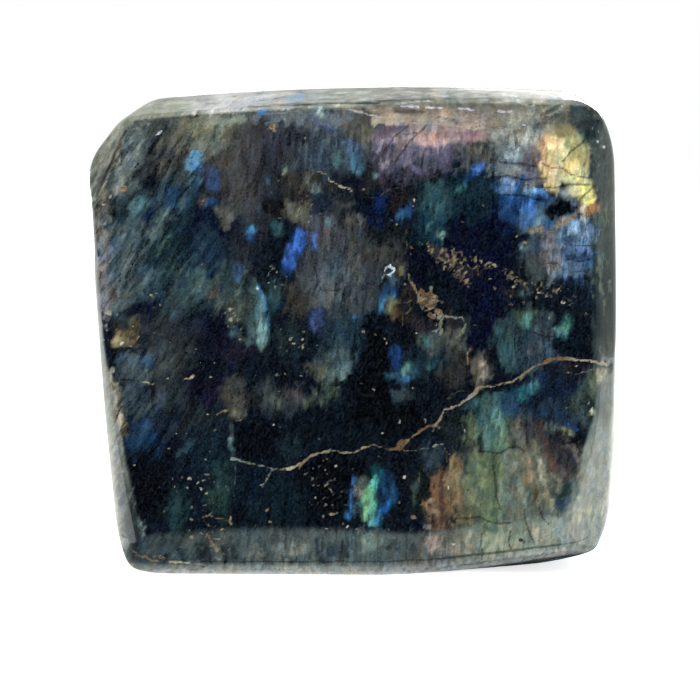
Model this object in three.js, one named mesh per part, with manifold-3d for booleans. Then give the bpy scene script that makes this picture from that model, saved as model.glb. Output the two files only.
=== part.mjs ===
// A polished labradorite freeform: one block of stone, ground all over into broad, slightly bowed
// faces, with bevels along the front and a flat foot that it stands on.
// Millimetres. +Z is up, the front looks toward -Y, and the origin is the middle of the stone's box
// on the plane that it stands on.
import * as THREE from 'three';
import { mergeVertices } from 'three/addons/utils/BufferGeometryUtils.js';
import Module from 'manifold-3d';

// Driving dimensions
const HALF_WIDTH = 52.4;
const HALF_DEPTH = 20.8;
const CREST = 98.4; // height of the top's highest line, before its ridge is rounded
const MIDDLE = 47; // height at which the front stands out furthest

const FRONT_BOW = 560; // radius to which the front is bowed, in both directions
const BACK_BOW = 260;
const SIDE_BOW = 900;
const LEFT_BOW = 5000;
const TOP_BOW = 520;

const CELL = 3.5; // side of a mesh cell
const REACH = 110; // longer than any line from the middle of the stone to its surface
const HALVINGS = 30; // steps of the search along such a line

// The way a face looks: azimuth 0 is the front and 90 the right side, elevation 90 is straight up
function facing(azimuth, elevation) {
  const a = THREE.MathUtils.degToRad(azimuth);
  const e = THREE.MathUtils.degToRad(elevation);
  return new THREE.Vector3(Math.sin(a) * Math.cos(e), -Math.cos(a) * Math.cos(e), Math.sin(e));
}

// A broad face through a point. Its edges with the faces before it are rounded over `ridge`.
function face(point, azimuth, elevation, bow, ridge) {
  return { point: new THREE.Vector3(...point), normal: facing(azimuth, elevation), bow, ridge };
}

// The depth of the bowed front at a place on it
function frontDepth(x, z) {
  return -HALF_DEPTH + (x * x + (z - MIDDLE) ** 2) / (2 * FRONT_BOW);
}

// A flat bevel that leaves the front along the line between two places on it and leans back
function bevel([xa, za], [xb, zb], lean, ridge) {
  const a = new THREE.Vector3(xa, frontDepth(xa, za), za);
  const b = new THREE.Vector3(xb, frontDepth(xb, zb), zb);
  const along = b.clone().sub(a).normalize();
  const forward = new THREE.Vector3(0, -1, 0).projectOnPlane(along).normalize();
  const outward = new THREE.Vector3().crossVectors(along, forward);
  if (outward.x * xa + outward.z * (za - MIDDLE) < 0) outward.negate();
  const angle = THREE.MathUtils.degToRad(lean);
  const normal = forward.multiplyScalar(Math.cos(angle)).addScaledVector(outward, Math.sin(angle));
  return { point: a.add(b).multiplyScalar(0.5), normal, bow: Infinity, ridge };
}

const FACES = [
  face([0, -HALF_DEPTH, MIDDLE], 0, 0, FRONT_BOW, 0), // front
  face([2, HALF_DEPTH - 0.6, 47], 180, 3, BACK_BOW, 0), // back
  face([-HALF_WIDTH + 1.65, 0, 65], -90, -3.3, LEFT_BOW, 4), // left side
  face([HALF_WIDTH, 0, 50], 90, 0.3, SIDE_BOW, 4), // right side
  face([12, 2 - HALF_DEPTH, CREST - 4.8], 0, 75, TOP_BOW, 1.6), // top, front half
  face([12, 7, CREST], 180, 78, TOP_BOW, 3), // top, back half
  face([-8, 2, -0.9], 0, -90, SIDE_BOW, 3), // underside
  face([-45.5, 15, 50], -135, -2, Infinity, 12), // back left edge
  face([46, 15, 50], 135, 0, Infinity, 12), // back right edge
  face([0, 15, CREST - 5.7], 180, 42, Infinity, 12), // back top edge
  face([0, 17, 4.5], 180, -44, Infinity, 5), // back lower edge
  face([-48.9, 0, 86.2], -90, 40, Infinity, 2.5), // top left corner
  face([48.6, 0, 91.6], 90, 34, Infinity, 3), // top right corner
  face([-47.9, 0, 3], -90, -42, Infinity, 7), // lower left corner
  face([49.6, 0, 4.2], 90, -48, Infinity, 6), // lower right corner
  bevel([-46.3, 31], [-42, 9], 42, 1.5), // left bevel
  bevel([-49.8, 50], [-46.3, 31], 42, 1.5), // left bevel, tapering up
  bevel([-41.2, 8.5], [10, 9.2], 24, 1.2), // lower bevel
  bevel([10, 8.9], [41.7, 12.7], 24, 1.2), // lower bevel, rising to the right
  bevel([46.6, 29.2], [42.6, 12.6], 40, 1.2), // right bevel
  bevel([49.9, 38.6], [46.5, 28.8], 40, 1.2), // right bevel, tapering up
  bevel([46.5, 82.9], [47.5, 42.3], 48, 2), // right edge
  bevel([3, 92.1], [22.9, 89.3], 34, 1.5), // brow under the top
  bevel([-49.3, 76.2], [-43.8, 87.8], 50, 1), // top left corner, front part
  bevel([-38, 4.1], [13.5, 3.9], 60, 0.8), // undercut
  bevel([13.5, 3.6], [47, 7.6], 67, 0.8), // undercut, rising to the right
];

// The larger of two values, with the step from one to the other rounded over a width
function smoothMax(a, b, width) {
  const overlap = Math.max(width - Math.abs(a - b), 0);
  return Math.max(a, b) + (width > 0 ? (overlap * overlap) / (4 * width) : 0);
}

// How far a point stands outside the stone: negative inside it
function outside(point) {
  const offset = new THREE.Vector3();
  return FACES.reduce((furthest, { point: on, normal, bow, ridge }) => {
    offset.subVectors(point, on);
    const height = offset.dot(normal);
    const bowed = height + (offset.lengthSq() - height * height) / (2 * bow);
    return smoothMax(furthest, bowed, ridge);
  }, -REACH);
}

// Where a line from the middle of the stone leaves it
function surfacePoint(direction, middle) {
  let near = 0;
  let far = REACH;
  const point = new THREE.Vector3();
  for (let i = 0; i < HALVINGS; i++) {
    const half = (near + far) / 2;
    if (outside(point.copy(middle).addScaledVector(direction, half)) < 0) near = half;
    else far = half;
  }
  return point;
}

// The ground stone, before its foot is cut flat: a gridded box blown out to the faces
function groundBlock() {
  const size = [2 * HALF_WIDTH, 2 * HALF_DEPTH, CREST];
  const cells = size.map((length) => Math.round(length / CELL));
  const box = new THREE.BoxGeometry(...size, ...cells);
  box.deleteAttribute('normal');
  box.deleteAttribute('uv');
  const block = mergeVertices(box);
  const middle = new THREE.Vector3(0, 0, MIDDLE);
  const places = block.attributes.position;
  for (let i = 0; i < places.count; i++) {
    const direction = new THREE.Vector3().fromBufferAttribute(places, i).normalize();
    places.setXYZ(i, ...surfacePoint(direction, middle).toArray());
  }
  return block;
}

const wasm = await Module();
wasm.setup();

function toSolid(geometry) {
  const shape = geometry.clone();
  shape.deleteAttribute('normal');
  shape.deleteAttribute('uv');
  const merged = mergeVertices(shape);
  return new wasm.Manifold(new wasm.Mesh({
    numProp: 3,
    vertProperties: new Float32Array(merged.attributes.position.array),
    triVerts: new Uint32Array(merged.index.array),
  }));
}

function toGeometry(solid) {
  const { vertProperties, triVerts } = solid.getMesh();
  const geometry = new THREE.BufferGeometry();
  geometry.setAttribute('position', new THREE.BufferAttribute(vertProperties, 3));
  geometry.setIndex(new THREE.BufferAttribute(triVerts, 1));
  geometry.computeVertexNormals();
  return geometry;
}

// Everything below the plane that the stone stands on
function groundBelow() {
  const depth = 20;
  const ground = new THREE.BoxGeometry(4 * HALF_WIDTH, 4 * HALF_WIDTH, depth);
  ground.translate(0, 0, -depth / 2);
  return ground;
}

const stone = new THREE.Mesh(
  toGeometry(toSolid(groundBlock()).subtract(toSolid(groundBelow()))),
  new THREE.MeshStandardMaterial({ color: 0x2c3639, roughness: 0.12, metalness: 0.0 }),
);
stone.name = 'labradorite_stone';

const freeform = new THREE.Group();
freeform.name = 'labradorite_freeform';
freeform.add(stone);

export default freeform;
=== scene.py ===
"""A polished freeform of labradorite that stands on its flat ground foot, on a pale floor.

The stone is worked out in millimetres and made in metres. Its front faces -Y, and the floor is z = 0.
The shape is a set of bowed faces rounded into each other, the face's pattern is laid on from listed marks,
and the rest of the stone has a pattern of the same kind from noise.
"""
import math

import bpy
import numpy as np
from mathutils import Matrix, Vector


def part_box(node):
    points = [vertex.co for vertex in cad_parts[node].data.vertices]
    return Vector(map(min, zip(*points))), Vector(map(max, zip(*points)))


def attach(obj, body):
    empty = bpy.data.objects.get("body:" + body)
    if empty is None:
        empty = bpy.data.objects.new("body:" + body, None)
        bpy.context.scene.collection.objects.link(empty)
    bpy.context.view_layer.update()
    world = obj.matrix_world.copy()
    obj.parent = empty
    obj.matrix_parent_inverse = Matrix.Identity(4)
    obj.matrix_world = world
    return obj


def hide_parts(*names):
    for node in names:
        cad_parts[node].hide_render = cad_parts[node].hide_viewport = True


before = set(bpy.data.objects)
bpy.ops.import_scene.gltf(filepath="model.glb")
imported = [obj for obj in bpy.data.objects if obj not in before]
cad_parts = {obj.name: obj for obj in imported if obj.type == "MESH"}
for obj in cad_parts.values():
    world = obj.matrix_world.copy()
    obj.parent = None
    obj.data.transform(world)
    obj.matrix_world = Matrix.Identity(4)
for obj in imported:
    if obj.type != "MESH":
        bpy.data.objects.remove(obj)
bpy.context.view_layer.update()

STONE_NODE = "labradorite_stone"
MM = 0.001


# ---- Driving dimensions, in millimetres, from the frame ----
LOW, HIGH = ([value / MM for value in corner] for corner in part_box(STONE_NODE))
HALF_WIDTH = HIGH[0]
HALF_DEPTH = -LOW[1]
CREST = HIGH[2] + 0.77  # the top face's middle stands this high before it is rounded
MIDDLE = 47.0  # height of the front's middle
FRONT_BOW = 560.0  # radii of the slightly bulging faces
BACK_BOW = 260.0
SIDE_BOW = 900.0
LEFT_BOW = 5000.0
TOP_BOW = 520.0
FLAT = math.inf
FOOT_RIDGE = 0.6


# ---- The camera, level with the upper half of the stone ----
CAMERA_RISE = 6.0  # degrees above level
CAMERA_FAR = 0.350  # metres, like the frame and the aim
CAMERA_FRAME = 0.1435  # width that fills the picture at the stone's middle
CAMERA_AIM = (-0.0005, 0.0, 0.0443)
SENSOR = 36.0


def add_camera():
    rise = math.radians(CAMERA_RISE)
    data = bpy.data.cameras.new("camera")
    data.sensor_width = SENSOR
    data.lens = SENSOR * CAMERA_FAR / CAMERA_FRAME
    data.clip_start = 0.01
    camera = bpy.data.objects.new("camera", data)
    bpy.context.scene.collection.objects.link(camera)
    camera.location = (CAMERA_AIM[0], CAMERA_AIM[1] - CAMERA_FAR * math.cos(rise),
                       CAMERA_AIM[2] + CAMERA_FAR * math.sin(rise))
    camera.rotation_euler = (math.pi / 2 - rise, 0, 0)
    bpy.context.scene.camera = camera


# ---- The stone's faces ----
def facing(azimuth, elevation):
    """Direction of a face: azimuth 0 looks to the front, 90 to the right, 180 to the back."""
    a, e = math.radians(azimuth), math.radians(elevation)
    return np.array([math.sin(a) * math.cos(e), -math.cos(a) * math.cos(e), math.sin(e)])


def face(point, azimuth, elevation, bow, ridge):
    """A face through a point, bulging with a radius, that meets the faces before it in a ridge."""
    return np.array(point, float), facing(azimuth, elevation), bow, ridge


def front_depth(x, z):
    return -HALF_DEPTH + (x * x + (z - MIDDLE) ** 2) / (2 * FRONT_BOW)


def bevel(start, end, lean, ridge):
    """A flat bevel whose upper edge runs between two points of the front."""
    a = np.array([start[0], front_depth(*start), start[1]])
    b = np.array([end[0], front_depth(*end), end[1]])
    along = (b - a) / np.linalg.norm(b - a)
    forward = np.array([0.0, -1.0, 0.0])
    forward -= along * (forward @ along)
    forward /= np.linalg.norm(forward)
    outward = np.cross(along, forward)
    if outward @ (a - np.array([0, a[1], MIDDLE])) < 0:
        outward = -outward
    lean = math.radians(lean)
    return a, forward * math.cos(lean) + outward * math.sin(lean), FLAT, ridge


FACES = {
    "front": face([0, -HALF_DEPTH, MIDDLE], 0, 0, FRONT_BOW, 0),
    "back": face([2, HALF_DEPTH - 0.6, MIDDLE], 180, 3, BACK_BOW, 0),
    "left side": face([-HALF_WIDTH + 1.65, 0, 65], -90, -3.3, LEFT_BOW, 4),
    "right side": face([HALF_WIDTH, 0, 50], 90, 0.3, SIDE_BOW, 4),
    "top front": face([12, 2 - HALF_DEPTH, CREST - 4.8], 0, 75, TOP_BOW, 1.6),
    "top back": face([12, 7, CREST], 180, 78, TOP_BOW, 3),
    "underside": face([-8, 2, -0.9], 0, -90, SIDE_BOW, 3),
    "back left edge": face([-45.5, 15, 50], -135, -2, FLAT, 12),
    "back right edge": face([46, 15, 50], 135, 0, FLAT, 12),
    "back top edge": face([0, 15, CREST - 5.7], 180, 42, FLAT, 12),
    "back lower edge": face([0, 17, 4.5], 180, -44, FLAT, 5),
    "top left corner": face([-48.9, 0, 86.2], -90, 40, FLAT, 2.5),
    "top right corner": face([48.6, 0, 91.6], 90, 34, FLAT, 3),
    "lower left corner": face([-47.9, 0, 3], -90, -42, FLAT, 7),
    "lower right corner": face([49.6, 0, 4.2], 90, -48, FLAT, 6),
    "left bevel": bevel([-46.3, 31], [-42, 9], 42, 1.5),
    "left upper bevel": bevel([-49.8, 50], [-46.3, 31], 42, 1.5),
    "lower bevel": bevel([-41.2, 8.5], [10, 9.2], 24, 1.2),
    "lower right bevel": bevel([10, 8.9], [41.7, 12.7], 24, 1.2),
    "right bevel": bevel([46.6, 29.2], [42.6, 12.6], 40, 1.2),
    "right upper bevel": bevel([49.9, 38.6], [46.5, 28.8], 40, 1.2),
    "right edge": bevel([46.5, 82.9], [47.5, 42.3], 48, 2),
    "brow": bevel([3, 92.1], [22.9, 89.3], 34, 1.5),
    "top left bevel": bevel([-49.3, 76.2], [-43.8, 87.8], 50, 1),
    "undercut": bevel([-38, 4.1], [13.5, 3.9], 60, 0.8),
    "right undercut": bevel([13.5, 3.6], [47, 7.6], 67, 0.8),
    "foot": face([0, 0, 0], 0, -90, FLAT, FOOT_RIDGE),
}


def rise(points, through, normal, bow):
    """How far outside one face points are, in millimetres."""
    off = points - through
    height = off @ normal
    if bow < FLAT:
        height = height + (np.einsum("ij,ij->i", off, off) - height * height) / (2 * bow)
    return height


def outside(points):
    """How far outside the stone points are, in millimetres: below zero within it."""
    height = np.full(len(points), -1e9)
    for through, normal, bow, ridge in FACES.values():
        own = rise(points, through, normal, bow)
        if ridge:
            near = np.maximum(ridge - abs(height - own), 0)
            height = np.maximum(height, own) + near * near / (4 * ridge)
        else:
            height = np.maximum(height, own)
    return height


def rim_tints_and_reflections(points):
    """Tints, partly painted reflection of the pale room, and strengths for the bevels and sides. A side's
    painted light fades into the bevel beside it.
    """
    rises = {name: rise(points, *face[:3]) for name, face in FACES.items()}
    layers = []
    for name, axis, stops in RIM_TINTS_AND_REFLECTIONS:
        rest = np.max([other for key, other in rises.items() if key != name], 0)
        gap = rises[name] - rest
        place = points[:, axis]
        early = np.interp(place, [stop[0] for stop in stops], [stop[2] for stop in stops])
        fading = np.clip(1 + gap / np.maximum(early, EDGE_SOFT), 0, 1) ** FADE
        share = np.where(early > 0, fading, smooth(0.75 + gap / (2 * EDGE_SOFT)))
        layers.append((share, place, stops))
    return layers


def onto_surface(inner, outer):
    """The points where lines from within the stone through the outer points leave it."""
    near, far = np.zeros(len(inner)), np.full(len(inner), 3.0)
    for _ in range(BISECTIONS):
        middle = (near + far) / 2
        within = outside(inner + (outer - inner) * middle[:, None]) < 0
        near = np.where(within, middle, near)
        far = np.where(within, far, middle)
    return inner + (outer - inner) * near[:, None]


def outward(points):
    """The surface's direction at points on it."""
    step = 0.02
    slope = [outside(points + step * axis) - outside(points - step * axis) for axis in np.eye(3)]
    slope = np.stack(slope, 1)
    return slope / np.linalg.norm(slope, axis=1, keepdims=True)


# ---- Settings of the surface and of the pattern ----
BISECTIONS = 24  # halvings in the search for the place where a line leaves the stone
EDGE_SOFT = 0.4  # a bevel's tint gives way to the next face's over about this far
FADE = 2.5  # how quickly a side's light dies away on the bevel beside it
RIM_STRENGTH = 0.92
WAVE_LATTICE = 64  # steps after which the random waves and cells repeat
GRAIN_FAR = 2.0  # distances to grains and cracks are kept up to this
TOP_STRIP = 92.4  # height where the strip along the top edge begins


# ---- The pattern of the face: colours laid on one by one, back to front ----
GROUND_HUE = "0b1018"  # the blue-black body of the stone

# Soft shades: x, z, half length, half width, tilt from +X in degrees, softness, colour.
SHADES = [
    (24, 92.4, 26, 2.4, -1, 1.2, "8a8478"),
    (-26, 92, 20, 2.4, 2, 1.2, "666a60"),
    # upper left: smoky grey-brown under the top edge
    (-34, 86.5, 13, 6, 0, 4, "57544b"),
    (-20, 81, 6, 12, 0, 4, "464240"),
    (-30, 88.5, 8, 3.4, 0, 2, "666454"),
    (-27.5, 90.2, 4.6, 1.6, 0, 1.2, "8b8a66"),
    (-28, 86.3, 3, 1.6, 10, 1.4, "5f665c"),
    (-40.5, 89, 6, 3.6, 25, 2, "5c6258"),
    (-36.5, 84.5, 5, 3, 60, 2, "46453d"),
    (-38.5, 80, 3, 9, 168, 2.4, "22262a"),
    (-33, 80.5, 4, 3, 20, 2, "3f3f38"),
    (-43.8, 83, 7, 2.1, 70, 1.4, "5c6668"),
    (-44, 78, 3, 2.4, 60, 1.4, "4c5048"),
    (-47.6, 83.5, 6.4, 2, 63, 1, "a3a293"),
    (-48.4, 71, 8, 1.7, 88, 1, "716a5e"),
    # left: slanting grey and teal lamellae
    (-40, 66, 15, 8, 60, 4, "293c42"),
    (-45, 62, 9, 3, 75, 3, "4a5860"),
    (-48.3, 60, 10, 1.5, 88, 1, "77717a"),
    (-33, 63, 8, 7, 40, 4, "1a2e34"),
    (-31, 58, 6, 4, 30, 3, "31464a"),
    (-33.5, 75, 3.4, 2.6, 30, 1.8, "1d3850"),
    (-27, 70.5, 6, 4.4, 10, 2, "0a1028"),
    (-29, 65.5, 5, 3, 30, 2, "182c40"),
    (-23.5, 72.8, 2.2, 1.8, 0, 0.8, "55544a"),
    (-21, 65, 3, 5, 0, 3, "24242a"),
    (-24, 57.5, 4, 3, 60, 1.8, "36423e"),
    (-22.4, 54, 3, 1.6, 60, 1.4, "474e40"),
    (-29, 49, 7, 5, 0, 3, "10121f"),
    (-37, 50, 6, 5, 0, 3, "2a2c30"),
    (-36, 44, 4.5, 3.5, 0, 2.4, "3a3d3a"),
    (-22, 46.5, 3.4, 3, 0, 2, "1e1826"),
    (-41.5, 54.3, 3.4, 1.9, 10, 1.4, "0e0e18"),
    (-44.8, 57.5, 2.4, 3, 70, 1.6, "4e4e42"),
    # fin and the hollow beside it
    (-19.6, 53, 6.4, 1.3, 84, 1.4, "3c4e4c"),
    (-15, 56.8, 3, 2.2, 60, 1.6, "1d3c42"),
    # left, lower half
    (-42.3, 43, 3.6, 3, 0, 1.2, "475259"),
    (-41.8, 36.6, 3.4, 3.4, 0, 1.2, "323c44"),
    (-34.5, 37.5, 3.5, 3, 0, 2, "2a3130"),
    (-28, 38, 4, 3.4, 0, 2, "151024"),
    (-22.6, 37, 3.4, 2, 100, 1.6, "403c30"),
    (-15, 37, 4, 2.6, 160, 2, "363a38"),
    (-10.5, 37.4, 2.4, 1.4, 150, 1.4, "4c403e"),
    (-40.5, 29, 3.6, 3.2, 20, 2, "153250"),
    (-36, 31.5, 5, 2.4, 0, 2.4, "141c2c"),
    (-30, 33, 6, 2.4, 20, 2.4, "1e2427"),
    (-40, 20, 4, 6, 0, 3, "07060c"),
    (-34.3, 14, 4, 2.4, 90, 1.6, "1b3636"),
    (-27, 26, 4, 5, 60, 2.6, "101e26"),
    (-26, 19, 2.4, 6, 0, 1.8, "1c2f2c"),
    (-18, 28.5, 4.6, 4.2, 0, 1.6, "05070f"),
    (-15, 17, 8, 6, 0, 4, "0d1c22"),
    (-12, 27.6, 3, 2.4, 0, 2, "141f20"),
    # middle: smoky grey block with upright grain
    (-3, 62, 7, 8, 0, 3, "47484b"),
    (-5, 70, 4.5, 3, 0, 2, "42424a"),
    (-5.5, 57, 3, 2.4, 0, 1.6, "5d605c"),
    (-3.4, 62.3, 2.6, 1.8, 90, 1.4, "46565f"),
    (-11, 56, 2.6, 3.6, 0, 2, "3b3326"),
    (-12.4, 48.6, 2.2, 3.6, 0, 2.4, "202c2c"),
    (-1.5, 49.5, 4, 5, 0, 3, "243640"),
    (-3, 44.8, 3.6, 2.2, 0, 1.8, "3b4d52"),
    (-6.2, 42, 2.4, 2, 0, 1, "4d5240"),
    (-2.2, 42.2, 1.9, 1.9, 0, 1, "566b6b"),
    (-5.6, 37.6, 2.6, 1.6, 10, 1.4, "444c33"),
    (4, 66.5, 5.4, 3.4, 20, 2.4, "35342c"),
    (6.5, 64, 4, 3.4, 0, 2, "38352e"),
    (2.6, 63.2, 1.6, 1.4, 0, 1, "2c2616"),
    (2, 57.5, 4, 3.6, 0, 2.4, "353a3c"),
    # above the middle
    (-14, 84, 4.4, 7, 0, 3, "34323a"),
    (-11.4, 78.5, 2.2, 8, 78, 2, "383026"),
    (-16.4, 77.5, 2.2, 5, 0, 2, "26262b"),
    (-14.8, 73.8, 2.6, 2, 0, 1.6, "15110f"),
    (-9.4, 84, 2.6, 2.6, 0, 1.8, "413e36"),
    (-5.6, 89.5, 4.6, 2.6, 0, 1.6, "43434a"),
    (1, 89, 5, 2.6, 0, 2, "5a564c"),
    (-3, 86, 2.6, 1.4, 160, 1.2, "4c5c5e"),
    (3, 86.8, 2.4, 2, 0, 1.4, "625a42"),
    (-9.5, 73, 1.8, 4.6, 68, 1, "5d5741"),
    (-3.6, 75, 3.6, 2.6, 0, 1.6, "2f3030"),
    (-1.5, 81, 2.6, 2, 0, 1.4, "0d0e16"),
    (4.6, 80, 3.4, 3, 0, 1.6, "241f22"),
    (-6.4, 74.5, 2.4, 2.6, 0, 1, "22252f"),
    (1, 71.6, 2, 1.6, 160, 1, "4b463e"),
    # mauve sheen right of the middle
    (12, 86.5, 8, 4.6, 8, 2.4, "75627c"),
    (8.6, 84.5, 3.6, 3.4, 50, 2, "5c5468"),
    (15.6, 87.2, 3.6, 1.8, 0, 1.2, "a98390"),
    (12, 81.6, 5, 2.2, 12, 1.8, "4a4858"),
    (21, 87.4, 5.6, 1.3, 0, 1, "94707f"),
    (22, 84, 5, 2, 0, 1.6, "4e4a40"),
    (18.4, 83.4, 1.8, 2.4, 0, 1.6, "4c4660"),
    (22, 91, 10, 2, -3, 1.2, "8f827c"),
    (13, 91.6, 6, 1.4, -6, 0.9, "8a8078"),
    (33, 92.6, 4, 2, 0, 1.2, "7c7669"),
    (31, 85.6, 4.6, 4, 0, 2, "6b7478"),
    (34, 81, 3, 3.4, 0, 1.6, "5b525c"),
    (29.5, 81, 3, 1.6, 0, 1, "748089"),
    (38.5, 91.3, 4.5, 1.8, -10, 1.6, "645f4c"),
    # gold, yellow and olive in the upper right
    (40.5, 87.8, 4, 2, 0, 1.4, "a09668"),
    (43, 84, 5, 3.2, 100, 1.6, "b0ac68"),
    (44.6, 80, 3.4, 2, 100, 1.2, "b0b078"),
    (42, 79.2, 4.6, 2, -8, 1.2, "c8c080"),
    (36.6, 84.6, 3.2, 1.4, 90, 1, "c8a47c"),
    (38.6, 81, 2.6, 2.2, 0, 1, "cdb880"),
    (45, 90, 3, 4.4, 20, 1.2, "384240"),
    (47.3, 83, 1.5, 6, 0, 1.2, "46444f"),
    (48.6, 74, 1.2, 8, 0, 1, "46524e"),
    # blue below the gold
    (32, 75.4, 5.6, 4.4, -10, 2, "22528c"),
    (29.5, 72.5, 3.4, 2.4, 100, 1.4, "123058"),
    (37, 72, 4.6, 3, 30, 1.6, "43617a"),
    (43, 68.4, 4.2, 3.6, 0, 1.6, "4c6886"),
    (42.6, 63.4, 4.4, 2.8, 0, 1.6, "2c466c"),
    (38, 65, 3.2, 2, 90, 1.2, "7c6d66"),
    (38.7, 61.8, 1.8, 1.4, 20, 1, "6c6e68"),
    (35, 62.8, 1.6, 3.4, 0, 1.6, "3f4644"),
    (34.6, 67, 1.8, 2, 0, 1, "3d4a58"),
    (47.6, 64, 1.6, 4, 0, 1.4, "48564e"),
    (49.2, 66, 0.9, 7, 0, 0.8, "565c48"),
    # navy heart of the right side
    (24, 66, 7.5, 9, 20, 3, "060a22"),
    (22.6, 76.5, 5, 4.8, 100, 1.2, "10252f"),
    (25.5, 55.5, 4, 9, 0, 2, "070922"),
    (13, 63, 2.6, 5, 0, 1.2, "07071b"),
    (15.6, 75, 3.6, 3, 100, 1.8, "2f5258"),
    (15, 70, 3.4, 2.6, 110, 2, "163840"),
    (5.6, 73.4, 3, 3.4, 0, 1.4, "081332"),
    (9.4, 75.4, 1.9, 2, 0, 1, "221914"),
    (6.6, 69.2, 3.2, 1.8, 0, 1.4, "121417"),
    (3.6, 42, 3.4, 9, 0, 2, "030409"),
    (9, 52, 3.4, 2, 0, 2, "080a12"),
    (10.6, 55, 4.6, 1.5, 90, 1, "2a2018"),
    (7, 33, 8, 4, 0, 3, "04060b"),
    (9.2, 37.6, 2.4, 1.6, 0, 1, "263138"),
    (-4, 20, 6, 7, 0, 3, "03040a"),
    (-4, 31, 6, 3.6, 0, 3, "0a1117"),
    # right, above the vein
    (42, 57.5, 5, 2, -8, 1.6, "141c26"),
    (47.8, 58.4, 1.8, 2.6, 0, 1.4, "1c272c"),
    (49, 52.5, 1.2, 6, 0, 1, "34362e"),
    (47.6, 49, 1.6, 5, 0, 1.4, "30362e"),
    (45, 53.6, 1.6, 2, 0, 1, "11141a"),
    (33.4, 47.6, 5.4, 6, 0, 1.4, "283a42"),
    (29.6, 47, 5, 1.7, 90, 1, "2c4848"),
    (36, 47, 4.4, 2.6, 100, 1.4, "353c44"),
    (33.6, 53.4, 3.2, 1.4, 10, 1.2, "2e3a34"),
    (37.2, 51.8, 2.4, 1, 90, 0.8, "484a4e"),
    (42.6, 47.2, 2.6, 2.8, 0, 1.2, "071019"),
    (20, 51.4, 2, 1.8, 0, 0.8, "26241f"),
    (19.7, 48, 1.8, 1.9, 0, 0.9, "524e3e"),
    (19.5, 43.4, 3, 3, 0, 1.6, "2f2b24"),
    (24.8, 43.6, 3.2, 1.6, 100, 1, "655b49"),
    (13.6, 51.7, 1.6, 1.6, 0, 0.8, "2b2322"),
    (15.6, 47.4, 1.9, 2.4, 0, 1.2, "454b44"),
    (14, 43.6, 3.6, 2, 10, 1.6, "182c34"),
    (42.6, 42.9, 4, 1.2, 0, 0.8, "201a1e"),
    (47.2, 39.4, 2.6, 2.4, 60, 1.4, "4d5a48"),
    (40, 38.6, 6, 2.4, 0, 2, "101a2e"),
    # lower right fan
    (26.5, 35, 3.6, 3, 0, 1.6, "2f5a5c"),
    (31.4, 36, 2.8, 2, 90, 1.4, "22405a"),
    (38, 34.2, 6, 2, 0, 1.4, "1f3040"),
    (44.6, 36, 5, 1.6, 100, 1.4, "34403c"),
    (33, 19.5, 13, 9.4, 0, 4, "5c6354"),
    (26, 20, 8, 3.4, 90, 1.6, "5c6c4b"),
    (22.6, 31, 3.6, 1.6, 90, 1, "4c573a"),
    (27.4, 30.4, 3.8, 2.4, 90, 1.2, "456a5e"),
    (30.2, 30, 4, 1.5, 90, 1, "55634c"),
    (19.6, 30, 5, 1.8, 90, 1.2, "1b1f1c"),
    (15.5, 24.5, 3.4, 2.2, 90, 1.4, "303c46"),
    (17.6, 17, 6.4, 2.4, 86, 1.2, "6b4a2c"),
    (20.6, 18.5, 6.4, 1.4, 96, 0.9, "7a6741"),
    (13, 18.4, 5, 2.2, 80, 1.6, "14180f"),
    (15, 15.4, 1.4, 0.9, 10, 0.8, "8f6f47"),
    (41, 24.6, 5, 3, 106, 1.4, "3c3436"),
    (41.6, 18.2, 2.4, 2.4, 0, 1.2, "22393a"),
    (44, 14.5, 3.4, 2.4, 100, 1.6, "6c7370"),
    # bevels and rim: the stone's paler colour there, partly painted reflection of the pale room; the two
    # long grey bands at z 2 and 3 are painted reflection of the floor on the undercut
    (-47.2, 34, 9, 1.7, 94, 0.8, "a29d8c"),
    (-46, 20, 10, 1.9, 99, 0.8, "8d8b88"),
    (-42.8, 12, 6, 1.2, 104, 1, "6a736a"),
    (-44.6, 9.5, 5, 1.4, 110, 1, "88878a"),
    (-34, 5.9, 8, 1.9, -2, 0.9, "4d555a"),
    (-21, 6, 5, 2.2, 0, 1, "4a5452"),
    (-12, 6.6, 5.6, 2.2, 2, 1, "6a716b"),
    (-3.5, 6.4, 3, 2, 0, 1.2, "50525a"),
    (3, 7.2, 4, 3, 12, 1.4, "6b7c74"),
    (9, 6.8, 3.4, 2.2, 0, 1.4, "68706a"),
    (15.4, 7.6, 2.4, 2.4, 100, 1, "948479"),
    (20, 8, 2, 2.2, 0, 1, "a1927c"),
    (31, 8.2, 12, 2.3, 4, 0.9, "98a48e"),
    (41, 10.2, 3, 2.4, 100, 1, "8c9a92"),
    (49, 30, 9, 2.2, 84, 0.8, "a7b2a2"),
    (47.5, 21, 7, 2.4, 82, 1, "96a09b"),
    (48.6, 13.5, 1.8, 5, 70, 1, "b7c4ae"),
    (-20, 2, 24, 1.7, 0, 0.7, "9c9b97"),
    (30, 3, 20, 1.9, 4, 0.8, "8f8b92"),
    # under the top ridge: grey on the left, a pale warm band on the right, mauve below it
    (-25, 90.8, 4, 1.5, 0, 1.2, "8a9080"),
    (-9, 91, 10, 1.7, 0, 1.4, "68727a"),
    (-4, 83.6, 7, 3.4, 10, 3, "3e4a58"),
    (16, 90.3, 13, 1.6, -3, 1, "b4a699"),
    (32, 90.9, 5, 1.6, 0, 1, "9a9b8e"),
    (15, 87.7, 8, 2, 4, 1.4, "a8949a"),
    (31, 87.6, 6, 2, 0, 1.2, "9a9c94"),
]

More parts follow.
